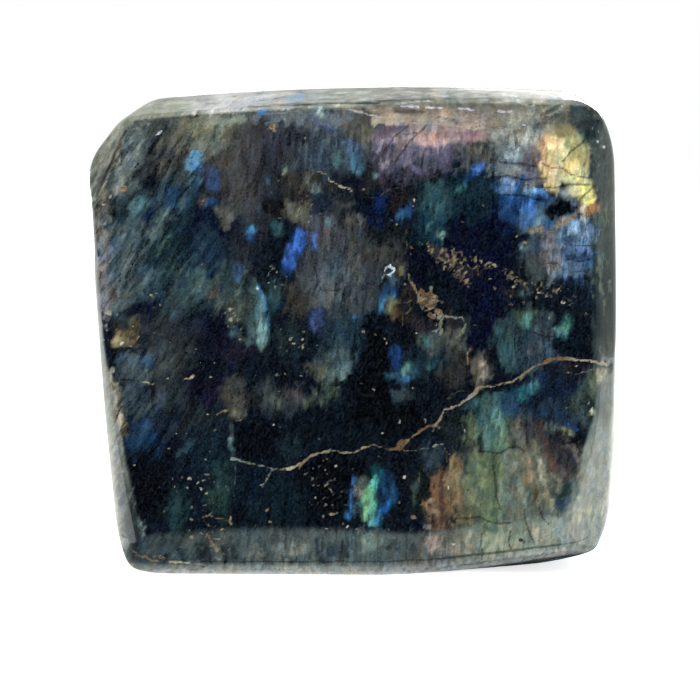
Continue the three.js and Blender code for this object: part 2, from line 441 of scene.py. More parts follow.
# Lamellae: fine parallel layers that show as streaks. x, z, half length, half width, tilt of the
# streaks, spacing across them, softness, light colour, dark colour.
LAMELLAE = [
    (-40, 66, 13, 8, 60, 1.1, 3, "4c6064", "12222a"),
    (-32, 64, 8, 7, 52, 1.1, 3, "344c4a", "0e1c22"),
    (-45.4, 61, 8, 2.6, 74, 1, 1.6, "727a82", "3c4648"),
    (-23.4, 58, 5.5, 3, 62, 1.1, 1.6, "5f6e60", "1a2c30"),
    (-36, 84, 7, 5, 55, 1.6, 2.4, "5d5b50", "2e2e2a"),
    (-44.4, 82, 7, 2.2, 70, 1.2, 1.2, "74807f", "4a524f"),
    (-2.5, 62, 8, 6.5, 82, 1.6, 2.4, "5b5c60", "35363a"),
    (29.6, 47, 5.4, 1.8, 92, 0.8, 0.8, "3f6060", "1c3034"),
    (35.4, 46.4, 5, 3.4, 100, 1, 1, "4a565e", "222c32"),
    (26.4, 20.5, 7.6, 3.2, 91, 1.2, 1, "75865f", "424f36"),
    (31.4, 19.4, 8, 2.8, 93, 1.4, 1, "808b7e", "525e52"),
    (36.6, 20.4, 8, 2.8, 103, 1.3, 1, "8e8a72", "4a4230"),
    (27, 31, 4.6, 3.4, 92, 1.2, 1, "568076", "32504a"),
    (32.6, 29.8, 5, 2.4, 98, 1.1, 1, "6d6c5e", "3c3a34"),
    (17.4, 17, 6, 2.2, 88, 1.1, 1, "86633a", "3a2818"),
    (20.8, 18, 6, 1.3, 94, 0.9, 0.7, "8b784d", "5a4a30"),
    (41.4, 24.6, 4.6, 2.8, 106, 1, 1, "6b6160", "241f24"),
    (13, 18, 4.6, 2.2, 74, 1.1, 1.2, "3a4434", "0a0e0c"),
    (30, 8.2, 2.6, 11, 92, 1.3, 0.8, "a3ab92", "6c7864"),
    (-14, 6.4, 2.6, 24, 92, 1.6, 0.8, "505a54", "1c2426"),
    (-47.4, 82, 8, 2.4, 62, 0.7, 0.8, "a4a392", "3a3d34"),
    (-48.6, 66, 12, 1.4, 86, 0.8, 0.6, "7f8074", "474a42"),
    # painted highlights: streaks of reflected light along the top strip
    (-8, 95, 34, 2.4, 2, 0.5, 0.8, "e8ece0", "5f655c"),
    (34, 95, 11, 2, -2, 0.4, 0.8, "f2f5ea", "a3ab9c"),
    (14, 91.6, 12, 1.8, -4, 0.5, 0.8, "b4a698", "5e564c"),
    (34, 91, 7, 2, 30, 0.8, 0.8, "b0b2a0", "55574c"),
    (45.6, 88, 2.4, 5, 20, 0.8, 0.8, "5e6a60", "202a2a"),
    (42, 64, 4.4, 4.6, 4, 0.9, 1.2, "587aa4", "26385a"),
    (43, 69, 4, 3, 4, 1.3, 1, "7494b4", "42607f"),
    (15.4, 72, 4, 2.6, 62, 1.2, 1.2, "3d6c70", "122c36"),
    (9, 85, 5.4, 4.4, 48, 1.4, 1.6, "94869c", "5c5468"),
    (48.4, 63, 21, 1.7, 90, 0.9, 0.8, "66725e", "1a2426"),
]

# Cleavage blocks: crisp-edged patches. x, z, half length, half width, tilt, softness, colour.
BLOCKS = [
    # upper left
    (-38.9, 79, 1.6, 1.2, 30, 0.5, "0d0f18"),
    (-46.4, 72.9, 0.8, 0.9, 20, 0.4, "030505"),
    (-35, 75.4, 2.4, 1.3, 60, 0.8, "1c4064"),
    (-39.2, 72.4, 1.5, 0.7, 55, 0.5, "141f48"),
    (-41.4, 74.4, 1.9, 1, 40, 0.7, "44707a"),
    (-37.6, 70.6, 3.6, 1.1, 62, 0.8, "536668"),
    (-42, 68.2, 3.6, 1.2, 64, 0.8, "4c5e62"),
    (-33, 71.4, 2.6, 0.9, 60, 0.6, "1c3038"),
    (-30.2, 91.5, 0.9, 0.4, 5, 0.3, "1c1c18"),
    (-23.4, 91.2, 0.4, 0.4, 0, 0.3, "20201c"),
    (-24.4, 73.1, 1.3, 1, 20, 0.5, "54524a"),
    (-28.7, 75, 0.8, 1, 0, 0.5, "574d4a"),
    # left block with the rusty patch
    (-44.9, 51.2, 1.2, 1.2, 0, 0.3, "2d261d"),
    (-43.9, 48.6, 2.3, 1.5, 0, 0.5, "6d5a2c"),
    (-42.2, 51.4, 1.1, 1.6, 20, 0.6, "53482e"),
    (-45.4, 47.6, 1.1, 0.9, 10, 0.6, "94804a"),
    (-41, 48.4, 1.9, 0.9, 90, 0.5, "101518"),
    (-43.6, 44.6, 2.2, 1.2, 0, 0.6, "42525c"),
    (-40, 44.2, 1.3, 1.6, 0, 0.6, "2c4862"),
    (-44.5, 41.8, 1.3, 1.5, 0, 0.5, "4b5252"),
    (-40.2, 41.4, 1.7, 1.6, 0, 0.5, "4c5458"),
    (-43.2, 36.4, 2.8, 1.6, 90, 0.5, "3a444c"),
    (-37.3, 37.4, 2, 0.9, 90, 0.4, "454b58"),
    (-45.4, 37, 2.6, 0.5, 92, 0.4, "6d6446"),
    (-44.6, 31.3, 2, 0.7, 92, 0.5, "655831"),
    (-39.8, 28.2, 1.9, 1.5, 0, 0.7, "0e2c48"),
    (-40.6, 31, 1.6, 1.3, 10, 0.8, "24405e"),
    (-41.2, 54.4, 1.8, 1.2, 0, 0.5, "0a0a14"),
    (-39.4, 54.7, 1, 0.7, 90, 0.4, "0d1438"),
    (-27, 61.2, 1.5, 0.6, 25, 0.4, "0e1d3c"),
    (-30, 59.6, 1.6, 2, 0, 0.8, "465b58"),
    (-27, 57.2, 0.9, 0.9, 0, 0.6, "57493f"),
    (-22.6, 35.8, 2.2, 1.3, 90, 0.6, "5c5542"),
    (-21.9, 34.6, 1.2, 1.1, 0, 0.4, "6c6b58"),
    (-23.8, 37.2, 1.6, 0.8, 100, 0.5, "3f3a2c"),
    (-15.3, 36.4, 1.7, 1.1, 150, 0.5, "484f48"),
    (-12.2, 37.4, 0.9, 0.9, 0, 0.5, "38363a"),
    (-9.2, 36.1, 0.7, 0.8, 0, 0.5, "4c5c4c"),
    (-25.3, 50, 3.6, 0.8, 90, 0.8, "07081c"),
    # upright strip and dark square left of the vein
    (-23.5, 29, 3.2, 0.5, 94, 0.3, "3c4648"),
    (-23.8, 28.2, 1, 0.4, 90, 0.3, "5d8ca2"),
    (-18.6, 28.8, 3.9, 3.1, 0, 0.3, "04060c"),
    (-19.4, 20, 3.4, 2.6, 92, 0.6, "081622"),
    (-32.6, 27.2, 2.4, 0.6, 40, 0.5, "22383e"),
    (-26.2, 17.4, 2.2, 1.6, 80, 0.8, "22382f"),
    # middle
    (-4.6, 57.2, 2.7, 1.5, 0, 0.4, "50585c"),
    (-8.2, 57.4, 1.6, 1, 90, 0.5, "4d4840"),
    (-9.3, 62.4, 3, 1.3, 86, 0.7, "3f3f40"),
    (1, 62.3, 2.8, 1.2, 92, 0.6, "525557"),
    (-6.4, 74.6, 2.1, 1.8, 90, 0.3, "20232e"),
    (-5.9, 71.2, 2.6, 1.3, 0, 0.5, "46464e"),
    (0.9, 71.6, 1.4, 1.2, 150, 0.5, "4f493f"),
    (-1, 74.2, 1.2, 0.5, 0, 0.3, "4c4c4c"),
    (-7.2, 77.4, 0.8, 1, 60, 0.5, "5a6a62"),
    (-8.4, 79.6, 1.6, 0.4, 88, 0.4, "6b674c"),
    (-13.1, 81, 0.9, 0.4, 84, 0.3, "5f7256"),
    (-16.4, 79.3, 0.9, 0.5, 90, 0.4, "3c4e66"),
    (-14.4, 69.8, 1.4, 1, 100, 0.6, "2c5052"),
    (-15.6, 73.9, 2, 1.2, 0, 0.5, "120f0c"),
    (-14.8, 57, 1.1, 1.2, 0, 0.6, "335256"),
    (-13.2, 56, 2.4, 0.6, 80, 0.5, "0c181c"),
    (-14.2, 51.6, 1, 1.2, 0, 0.6, "0f1420"),
    (9.2, 62.2, 0.8, 0.8, 0, 0.5, "5d5c38"),
    (3.7, 53.3, 0.9, 1, 0, 0.4, "06080c"),
    (13.5, 50.6, 1.7, 0.9, 20, 0.5, "2a2426"),
    (14.3, 48.1, 1, 1.2, 40, 0.5, "3a5a54"),
    (15.8, 47.4, 1.8, 0.6, 92, 0.5, "46473e"),
    (9, 37.8, 1.6, 1.1, 0, 0.5, "2f3c42"),
    (4.4, 45, 5, 1.8, 90, 0.8, "020307"),
    (7.6, 48.4, 1.3, 0.7, 90, 0.4, "090c12"),
    # mauve and beige slabs on the right of the top
    (14.9, 87.2, 3, 1.4, 2, 0.6, "c8a4a4"),
    (8.7, 87.4, 1.7, 0.9, 30, 0.5, "9a8690"),
    (6.6, 84, 1.6, 1.2, 40, 0.6, "62596e"),
    (11.4, 84.4, 1.7, 1.2, 20, 0.6, "6c6078"),
    (12.5, 80.9, 0.9, 0.5, 0, 0.3, "65608e"),
    (21.4, 87.6, 5.4, 0.6, 0, 0.4, "9d7886"),
    (23.4, 90.6, 3.8, 1.4, -2, 0.6, "a08f8b"),
    (22, 85, 4.4, 0.6, -3, 0.5, "5f594c"),
    (18.3, 84, 1.8, 1.1, 90, 0.6, "5a4c66"),
    (32.5, 87.2, 0.9, 1.1, 20, 0.4, "b4c2ba"),
    (30.6, 84.2, 1.4, 1.5, 0, 0.5, "98a8ae"),
    (28.6, 85.6, 1.6, 1.2, 100, 0.6, "6d787c"),
    (34.5, 84.2, 1.3, 1.7, 60, 0.5, "675b66"),
    (29, 81.2, 1, 0.9, 0, 0.3, "7f8c96"),
    (31.6, 80.8, 0.9, 1, 0, 0.3, "8c9498"),
    (34.4, 80.2, 1.4, 1, 0, 0.4, "6c666a"),
    # brow and top strip: white streaks that are painted highlights of reflected light, and dark gaps
    # towards the right corner
    (-25.6, 93.6, 5.6, 0.5, 15, 0.4, "f2f4ee"),
    (-17, 95.4, 6, 0.5, 9, 0.4, "fafbf6"),
    (10.5, 92.1, 3.4, 0.5, -5, 0.4, "5c5248"),
    (35.6, 91.6, 1.2, 0.8, 60, 0.5, "8a8a76"),
    (40.4, 90.6, 1.4, 0.9, 30, 0.5, "847e60"),
    (43.6, 91.4, 1.3, 1.4, 20, 0.5, "4c5650"),
    (45.6, 88.8, 1.2, 1.8, 20, 0.5, "35403e"),
    (36, 95.4, 10, 0.5, -3, 0.4, "fafbf6"),
    # brown haze around the grains in the navy heart
    (16.4, 65.3, 2.2, 0.7, -35, 0.5, "3a2e28"),
    (20, 62.6, 2.6, 0.8, -40, 0.5, "382c28"),
    (23.4, 61.4, 1.6, 0.7, 0, 0.5, "2a2224"),
    (31, 57.6, 2.4, 0.6, -20, 0.5, "2c2620"),
    # the blue mosaic
    (29.9, 78, 1.3, 1.2, -10, 0.3, "7d9cc6"),
    (27.8, 77.6, 1, 0.8, 90, 0.3, "3a6090"),
    (30.2, 75.1, 2.2, 0.9, -6, 0.4, "0f3c74"),
    (30.4, 72.6, 1.9, 1.3, 94, 0.4, "143a74"),
    (33.9, 73.7, 1.5, 1.2, 40, 0.4, "3670bc"),
    (33, 71.5, 1.7, 0.8, 80, 0.4, "37639c"),
    (34.2, 77, 1.3, 0.7, 10, 0.3, "5f93b4"),
    (36.2, 76.8, 1.2, 0.6, -8, 0.3, "5094dc"),
    (36.6, 75.3, 1.7, 0.6, -10, 0.3, "24406c"),
    (34.9, 78.4, 2, 0.5, 12, 0.3, "67615a"),
    (40.6, 76.6, 1.3, 0.7, 0, 0.4, "8f9aae"),
    (42, 75.2, 1.4, 0.8, -30, 0.4, "6c7c8a"),
    (36, 71.3, 1.4, 0.9, 30, 0.4, "5a90a8"),
    (37.8, 71, 1.5, 0.9, 20, 0.5, "1f4f7a"),
    (40.9, 71.3, 2.8, 0.7, 32, 0.4, "96856c"),
    (35.4, 69.6, 1.5, 0.8, 10, 0.4, "8e7d68"),
    (37.4, 67.6, 1.5, 1.1, 90, 0.5, "77717e"),
    (34.8, 67, 1.6, 1.1, 90, 0.4, "333f50"),
    (33.2, 66.4, 0.8, 0.5, 10, 0.3, "688c90"),
    (42.6, 70, 1.2, 0.9, 80, 0.4, "86b8e4"),
    (44.6, 71.6, 0.6, 0.7, 60, 0.3, "b4d4e4"),
    (45, 69.2, 1.8, 0.9, 80, 0.5, "6a8ebc"),
    (38, 64.2, 1.9, 0.9, 88, 0.4, "6e6868"),
    (39.2, 63.2, 0.9, 0.9, 0, 0.4, "756c6a"),
    (45.6, 62.7, 0.9, 0.7, 0, 0.3, "345c88"),
    (43.4, 65.6, 2.5, 0.7, 0, 0.4, "5c7cac"),
    (46.5, 58, 1.4, 1.2, 20, 0.5, "16202a"),
    # gold mosaic
    (38.8, 85.2, 2.2, 2, 92, 0.5, "fcf0a0"),
    (39.9, 84.6, 2.2, 1.1, 88, 0.5, "fbeeb0"),
    (36.8, 85.4, 2.4, 0.8, 90, 0.5, "e2a870"),
    (41.8, 82.2, 1.9, 1.5, 60, 0.4, "f2e494"),
    (40.4, 82.6, 1.2, 1, 40, 0.4, "fcf4ac"),
    (43.3, 83.4, 1.8, 1, 110, 0.6, "b4ae68"),
    (38.8, 79.9, 1.6, 1.3, 100, 0.5, "dcc68c"),
    (40.6, 79.8, 1.1, 1, 0, 0.4, "d8d08c"),
    (43.3, 79, 1.8, 0.9, -10, 0.4, "dcdc92"),
    (45.4, 79, 1, 0.7, -20, 0.3, "c0c88c"),
    (43, 77.1, 2, 1, 4, 0.4, "dcda9c"),
    (45.2, 76.8, 1.4, 1.2, 30, 0.4, "eee88c"),
    (45.4, 75.4, 1.6, 0.9, 20, 0.4, "ece47c"),
    (46, 73.4, 1.7, 1, 20, 0.6, "b97f45"),
    (44.2, 73.4, 0.7, 0.7, 0, 0.3, "e8d0b8"),
    (41.4, 88.2, 1.7, 1, 10, 0.6, "8c7c46"),
    (37.8, 89, 1.2, 0.8, 0, 0.6, "9c8c70"),
    (46, 87.6, 0.9, 1, 30, 0.4, "1c2620"),
    # above the vein, right
    (33.4, 53.4, 2.6, 0.6, 12, 0.4, "3e4e3f"),
    (36.9, 52, 1.9, 1.1, 90, 0.4, "2e3a40"),
    (38.2, 52.3, 0.8, 0.7, 0, 0.4, "384844"),
    (40.2, 50.4, 1.4, 0.7, 40, 0.5, "4d7a76"),
    (37.6, 46.8, 1.6, 0.8, 90, 0.4, "3f5870"),
    (42.4, 45.6, 2.2, 0.8, 0, 0.4, "08101c"),
    (19.8, 51.3, 1.3, 1.1, 10, 0.3, "201e1a"),
    (20.2, 50, 1, 0.6, 10, 0.3, "4f4d43"),
    (24.6, 44.5, 0.9, 0.8, 90, 0.4, "504c44"),
    (25.4, 42.6, 1.6, 0.8, 100, 0.4, "8a8072"),
    (48.8, 41, 1.3, 1.4, 0, 0.7, "8f937c"),
    # fan
    (26.6, 36.4, 1.6, 1.2, 80, 0.7, "3a5450"),
    (23.2, 31.4, 2.2, 0.8, 92, 0.4, "5e6a3c"),
    (25, 28.6, 2.2, 0.5, 92, 0.3, "1c2826"),
    (28.8, 29.4, 2.8, 1.2, 90, 0.4, "4f7662"),
    (32.2, 30.4, 2.4, 0.8, 100, 0.4, "6d675a"),
    (33.8, 29.6, 3, 0.6, 104, 0.3, "3c312c"),
    (34.9, 31, 2.4, 0.6, 102, 0.3, "3c3c38"),
    (36.7, 30, 3, 1, 112, 0.4, "4b372e"),
    (38.6, 24.8, 3.4, 0.9, 112, 0.4, "5b4032"),
    (38.8, 31.2, 1.6, 1.1, 0, 0.5, "4d5552"),
    (42.6, 31.4, 1.5, 0.6, -35, 0.3, "2c4c8a"),
    (41.8, 30.4, 1.6, 0.5, -32, 0.3, "737858"),
    (40.2, 29.2, 1.2, 1, 100, 0.4, "262a36"),
    (36, 26, 2.6, 0.6, 100, 0.3, "6c6c54"),
    (37, 22.4, 3.4, 0.6, 103, 0.35, "a3a183"),
    (38, 19, 2.8, 0.6, 98, 0.4, "8f8f76"),
    (34.8, 23, 2.6, 0.5, 98, 0.3, "93795f"),
    (33.6, 22.4, 3, 0.7, 94, 0.4, "7f7250"),
    (35.7, 18.4, 2.8, 0.5, 96, 0.3, "5c4f34"),
    (31.4, 24.4, 2.6, 1, 92, 0.4, "748070"),
    (29.4, 18.4, 2.4, 1, 92, 0.5, "667868"),
    (28, 19.6, 3, 0.4, 95, 0.3, "4b5434"),
    (25.3, 22, 3, 1.2, 91, 0.5, "74855a"),
    (24.2, 17.6, 2.2, 0.9, 90, 0.5, "6b7c68"),
    (28.6, 15, 1.4, 1.1, 80, 0.5, "5d6c4a"),
    (27.4, 13, 1.4, 0.8, -20, 0.4, "66805a"),
    (26.4, 11.2, 2.4, 0.9, -8, 0.4, "55725f"),
    (22, 13, 1.6, 1.4, 0, 0.6, "7a6c42"),
    (42.2, 27.6, 1.5, 0.3, 2, 0.3, "5d5850"),
    (43.7, 25.6, 1.7, 0.4, 108, 0.3, "756c60"),
    (41.2, 22, 1.7, 0.6, 110, 0.4, "5a5150"),
    (43.4, 22.4, 1.1, 1, 0, 0.5, "383529"),
    (41.7, 15.8, 1.6, 1.3, 10, 0.5, "184868"),
    (41.5, 18.6, 1.3, 1.2, 0, 0.5, "1f3430"),
    (43.7, 18.2, 2, 0.8, 80, 0.5, "4c6c6c"),
    (41.5, 10.2, 2.6, 1.1, 98, 0.4, "93a09c"),
    # lower bevel slabs
    (-12, 6.8, 3.6, 1.6, 2, 0.7, "737b73"),
    (-3.8, 6.4, 1.6, 1.6, 0, 0.5, "333d47"),
    (3.6, 8.4, 2.2, 1.7, 20, 0.8, "6e7f76"),
    (-19, 6.6, 1.4, 1.4, 0, 0.5, "6e7368"),
    (15.9, 8, 1.9, 1.4, 104, 0.5, "a59389"),
    (22.8, 8, 2, 0.9, 94, 0.4, "a8a68c"),
    (26.6, 8.2, 2.1, 1, 92, 0.4, "94a181"),
    (29.2, 8.4, 2, 1, 92, 0.5, "9dae93"),
    (33, 9.4, 2.2, 1.5, 4, 0.5, "788a78"),
    (36.6, 9.6, 1.6, 1.2, 98, 0.4, "a9a68f"),
    (45.8, 13.4, 1.4, 1.8, 70, 0.6, "98a085"),
    (20.6, 6.6, 1, 0.9, 0, 0.4, "a68f74"),
]

# Flashes: the bright Labrador colours. x, z, half length, half width, tilt, softness, colour.
FLASHES = [
    (-29.7, 83.6, 1, 0.6, 0, 0.5, "66b0e0"),
    (-30.5, 82.1, 1.3, 0.9, 10, 0.5, "7cc2f0"),
    (-29.6, 81.6, 0.7, 0.7, 0, 0.5, "3d86cc"),
    (-30.4, 79.2, 1.4, 1.2, 90, 0.9, "44687a"),
    (-27, 79.8, 2, 1.2, 100, 1.2, "34486c"),
    (-26.4, 78.4, 0.9, 1, 0, 0.6, "2c426c"),
    (-27.1, 74.7, 1, 0.6, 10, 0.4, "265a96"),
    (-19.6, 69.4, 0.8, 0.9, 70, 0.5, "3f78a4"),
    (-19.7, 67.9, 0.5, 0.6, 0, 0.4, "1f4a82"),
    (-17.5, 91.9, 0.7, 0.6, 0, 0.4, "3f86d0"),
    (-11, 95, 1.8, 0.8, 10, 0.6, "8accf8"),
    (-36.3, 66.6, 2.4, 0.2, 62, 0.4, "456258"),
    (-40.6, 62.1, 1.1, 0.3, 55, 0.4, "4a6c74"),
    (-22, 61.4, 1.8, 0.8, 95, 0.7, "34506e"),
    (-6.9, 90.6, 2, 0.3, 125, 0.4, "53669c"),
    (-4, 88.6, 1.6, 0.3, 160, 0.4, "40507c"),
    (-6.4, 92, 0.7, 0.6, 0, 0.4, "c4e4e0"),
    (-0.6, 85.6, 1.3, 0.9, 20, 0.7, "5f80a8"),
    (0.6, 82.3, 1.8, 1, 110, 0.9, "3f6a7c"),
    (-2.8, 83, 1, 0.35, 84, 0.4, "68b098"),
    (4.2, 79.9, 0.8, 0.4, 120, 0.4, "3f6a54"),
    (-4.5, 71.1, 0.5, 0.7, 0, 0.3, "4c8090"),
    (9.8, 72.4, 1.2, 0.8, 30, 0.6, "34608c"),
    (11, 73.4, 1.2, 0.5, 60, 0.5, "24446c"),
    (5.4, 74.7, 1, 1.4, 20, 0.9, "0c2250"),
    (14.6, 75.2, 1.2, 1, 0, 0.8, "3c6068"),
    (17.2, 68.8, 0.6, 0.5, 0, 0.3, "a4dcc8"),
    (24, 81.2, 1.6, 0.7, 30, 0.5, "4378c8"),
    (22.2, 79.4, 1.6, 0.5, 50, 0.5, "184a80"),
    (20.6, 77.6, 1.4, 0.5, 48, 0.5, "3f7c7c"),
    # royal blue flash and its twin
    (-10.4, 67.4, 2.2, 1.1, 74, 0.5, "3a74d4"),
    (-11.8, 64.6, 2.6, 1.3, 66, 0.5, "3560b4"),
    (-12.4, 62.3, 1.2, 0.7, 60, 0.4, "2c5494"),
    (-7.4, 67.6, 1.4, 0.6, 90, 0.6, "4462a2"),
    (-6.8, 52, 2, 1.1, 86, 0.8, "3c4f80"),
    (0.6, 52.9, 1, 0.5, 40, 0.4, "2c5474"),
    (0.2, 52.7, 0.4, 0.3, 0, 0.2, "3c6c88"),
    # pale fin
    (-17.7, 53, 5.6, 0.9, 97, 0.6, "587f84"),
    (-17.6, 49.6, 3, 0.9, 92, 0.6, "6c9090"),
    (-16.6, 52.6, 3.8, 0.2, 97, 0.3, "3c7494"),
    (-17.9, 57.4, 1.4, 0.5, 106, 0.4, "4a7c9c"),
    (-17.5, 56.4, 0.3, 0.3, 0, 0.2, "70a0b8"),
    (-23, 49.9, 0.6, 0.5, 90, 0.3, "5a8494"),
    # the gold's brightest panes
    (39.8, 84.2, 1.7, 0.9, 86, 0.5, "fdf0ac"),
    (38.6, 86.4, 0.9, 0.8, 0, 0.4, "f2cc92"),
    (42, 82, 1.3, 0.8, 60, 0.4, "f4e894"),
    (45.2, 77.2, 1.3, 0.9, 30, 0.4, "f2ec8c"),
    (43, 79, 1.4, 0.5, -10, 0.4, "e0de90"),
    (45.6, 75.3, 1.2, 0.6, 20, 0.4, "ece47c"),
    # blue and rust patch under the glint
    (6.6, 57.4, 1.7, 1.2, 40, 0.8, "1c4474"),
    (5.7, 55.2, 1.5, 0.8, 70, 0.5, "2c6080"),
    (6.9, 56.4, 1.3, 0.4, 40, 0.3, "447488"),
    (7.4, 55.2, 1.3, 0.5, 45, 0.4, "68785c"),
    (8.1, 55.7, 0.8, 0.5, 20, 0.4, "6c6450"),
    (8, 53.8, 1.1, 0.9, 90, 0.6, "4f4430"),
    (7.8, 60.2, 1, 0.6, 90, 0.5, "3f5a6c"),
    # teal and blue under the dark hollow
    (8.2, 45, 2, 0.9, 96, 0.8, "1c3c70"),
    (9.6, 41.6, 3, 1, 6, 0.9, "284a60"),
    (10.6, 42.8, 1, 0.8, 20, 0.6, "5f9488"),
    (10.2, 40.9, 0.7, 0.6, 90, 0.5, "4a86b8"),
    (15.4, 43.5, 1.6, 0.5, 20, 0.6, "305860"),
    (-3.2, 45.6, 0.6, 0.4, 0, 0.3, "4a6470"),
    (-3, 42, 1.3, 1, 0, 0.7, "648084"),
    # mint flashes of the upper right block
    (33.5, 51.9, 1.5, 1, 70, 0.5, "4e7c74"),
    (34, 52.7, 0.7, 0.6, 60, 0.4, "4a7870"),
    (41.4, 51.4, 1.6, 0.8, 70, 0.4, "488c80"),
    (40.9, 50.2, 1, 0.4, 66, 0.3, "5c9c88"),
    (40.8, 49.3, 0.5, 0.4, 0, 0.3, "447c88"),
    (33.3, 57.5, 0.8, 0.7, 0, 0.4, "37545a"),
    (35.2, 39.3, 1.7, 0.8, 64, 0.5, "407888"),
    (36.3, 41, 1, 0.6, 70, 0.5, "122a48"),
    (32.8, 38, 1.4, 0.9, 90, 0.8, "256a78"),
    # green stroke with azure beside it
    (6.6, 19, 3.6, 1.9, 96, 1, "153d5c"),
    (1.7, 19.6, 2.4, 1.2, 96, 0.5, "5d6658"),
    (0.9, 18.6, 0.8, 0.5, 80, 0.4, "7c7c80"),
    (-0.1, 18.2, 3.4, 0.35, 84, 0.4, "3f74ac"),
    (0.7, 21, 0.8, 0.5, 76, 0.3, "285488"),
    (-0.6, 14, 0.8, 0.6, 40, 0.4, "2c6494"),
    (1.2, 15.4, 1.4, 1, 90, 0.7, "3c5864"),
    (4.8, 22, 1.7, 1, 96, 0.7, "145058"),
    (4, 19, 2.6, 0.6, 86, 0.4, "5cc4b0"),
    (3.2, 17.2, 2.4, 1, 80, 0.5, "6caf84"),
    (2.7, 14.2, 1.4, 0.7, 72, 0.4, "6ca890"),
    (4.1, 14.8, 2.6, 0.6, 80, 0.4, "58a898"),
    (4.2, 12.4, 0.8, 0.7, 70, 0.4, "6cc4c8"),
    (6.8, 16, 0.9, 0.5, 60, 0.35, "1c60b4"),
    (5.9, 14.8, 1.5, 0.5, 58, 0.35, "2a80d4"),
    (5.1, 13.2, 1.2, 0.5, 60, 0.4, "3490cc"),
    (-34.3, 15.6, 1, 0.7, 90, 0.6, "1e3634"),
]

# Where the strokes of the face are fainter: x, z, half length, half width, tilt, softness.
HUSHED = [(41, 83, 5.6, 8.4, 6, 2), (12, 88.6, 15, 3, -6, 2), (20, 95, 30, 3, 0, 1),
          (47.6, 24, 18, 2.6, 78, 1.5), (31, 18, 13, 12, 0, 3)]

# Cracks: dark hairlines. Half width added to a hairline's, then the points of the line.
CRACKS = [
    (0.11, [(-49.4, 76), (-47.5, 80), (-45.5, 84.8), (-43.8, 88.5)]),
    (0, [(-20, 93), (-12, 93.6), (-4, 93.8), (5, 93.7)]),
    (0.04, [(14.2, 89.6), (11.2, 86.6), (8, 82.5)]),
    (0, [(11.5, 90.2), (8, 87.3), (5.6, 84)]),
    (0, [(9.8, 87.9), (12.6, 88)]),
    (0.05, [(27, 79.5), (29.8, 80), (33, 79.2), (37.4, 79.4)]),
    (0.04, [(28, 82.5), (33, 82.2), (35, 81.7)]),
    (0.13, [(32.8, 82), (33.8, 81.7), (33.6, 80.9)]),
    (0.04, [(36.4, 82.4), (38.4, 81.4), (40, 81.4), (42, 80.2), (44, 79.6), (46, 79.4)]),
    (0.02, [(44.4, 86.6), (41.8, 84.4), (40.2, 82.6)]),
    (0.04, [(35, 77.8), (39, 77.6), (41.5, 78.2), (46, 78.2)]),
    (0.02, [(43.4, 75), (44.6, 76.2), (46.5, 77.9)]),
    (0.04, [(29, 76.3), (33, 76), (37, 75)]),
    (0, [(33.2, 79), (32.4, 76), (32, 72), (31.8, 70)]),
    (0, [(41, 66.7), (44, 66.5), (47, 66.6)]),
    (0, [(41, 67), (41.2, 69.6)]),
    (0, [(41, 64), (44, 63.4), (46.4, 63.8)]),
    (0, [(37, 62.9), (39.4, 63.1), (40.8, 61.6)]),
    (0.04, [(27, 82.4), (27, 70)]),
    (0.04, [(-6, 58.1), (-4, 58), (-2, 58.1)]),
    (0.04, [(-2, 61), (-1.6, 58), (-2, 56)]),
    (0.04, [(-7.4, 62.6), (-6.6, 60), (-7.6, 57)]),
    (0, [(-21, 60.6), (-21.6, 59), (-22.2, 58.2)]),
    (0.05, [(-38.5, 39.4), (-38.8, 37), (-39, 34.6)]),
    (0.04, [(-46.6, 46.2), (-44.6, 46.9), (-42.8, 46.6), (-41.6, 45.6)]),
    (0.04, [(-45, 40.4), (-41.6, 40.2)]),
    (0.05, [(24.5, 26.8), (27, 26.3), (29, 26.3), (30.5, 27.3), (32, 27.5), (33.4, 26.4)]),
    (0.05, [(20, 13.3), (23, 13.2), (25, 13.4), (26.5, 12.6), (28.5, 12), (31, 12.2)]),
    (0.04, [(27.4, 24), (28, 20), (28.2, 17.4), (29, 15)]),
    (0.04, [(33.6, 15), (33.8, 12.6), (34.8, 10), (36, 7.4)]),
    (0.02, [(36.6, 15), (37.4, 13), (38.6, 11.8)]),
    (0.07, [(40.8, 27.9), (42.4, 28.1), (43.6, 28), (44.8, 26)]),
    (0.04, [(31, 10.4), (30.8, 8), (31.2, 6.4)]),
    (0.04, [(25.4, 10.2), (25.2, 7.4), (25.6, 5.8)]),
    (0, [(-30, 3.9), (-18, 3.9), (-6, 4), (6, 4.1), (14, 4.4), (18, 4.7)]),
    (0.1, [(18, 4.7), (27, 5.5), (36, 6.6), (41, 7.1)]),
    (0, [(41, 7.1), (45, 7.5), (47, 7.9)]),
    (0.02, [(34.2, 50), (37.6, 48.9), (39.6, 49)]),
    (0, [(31.2, 49), (31.8, 45), (32.6, 42)]),
    (0, [(36.4, 60), (39.4, 59.4), (42, 58)]),
]
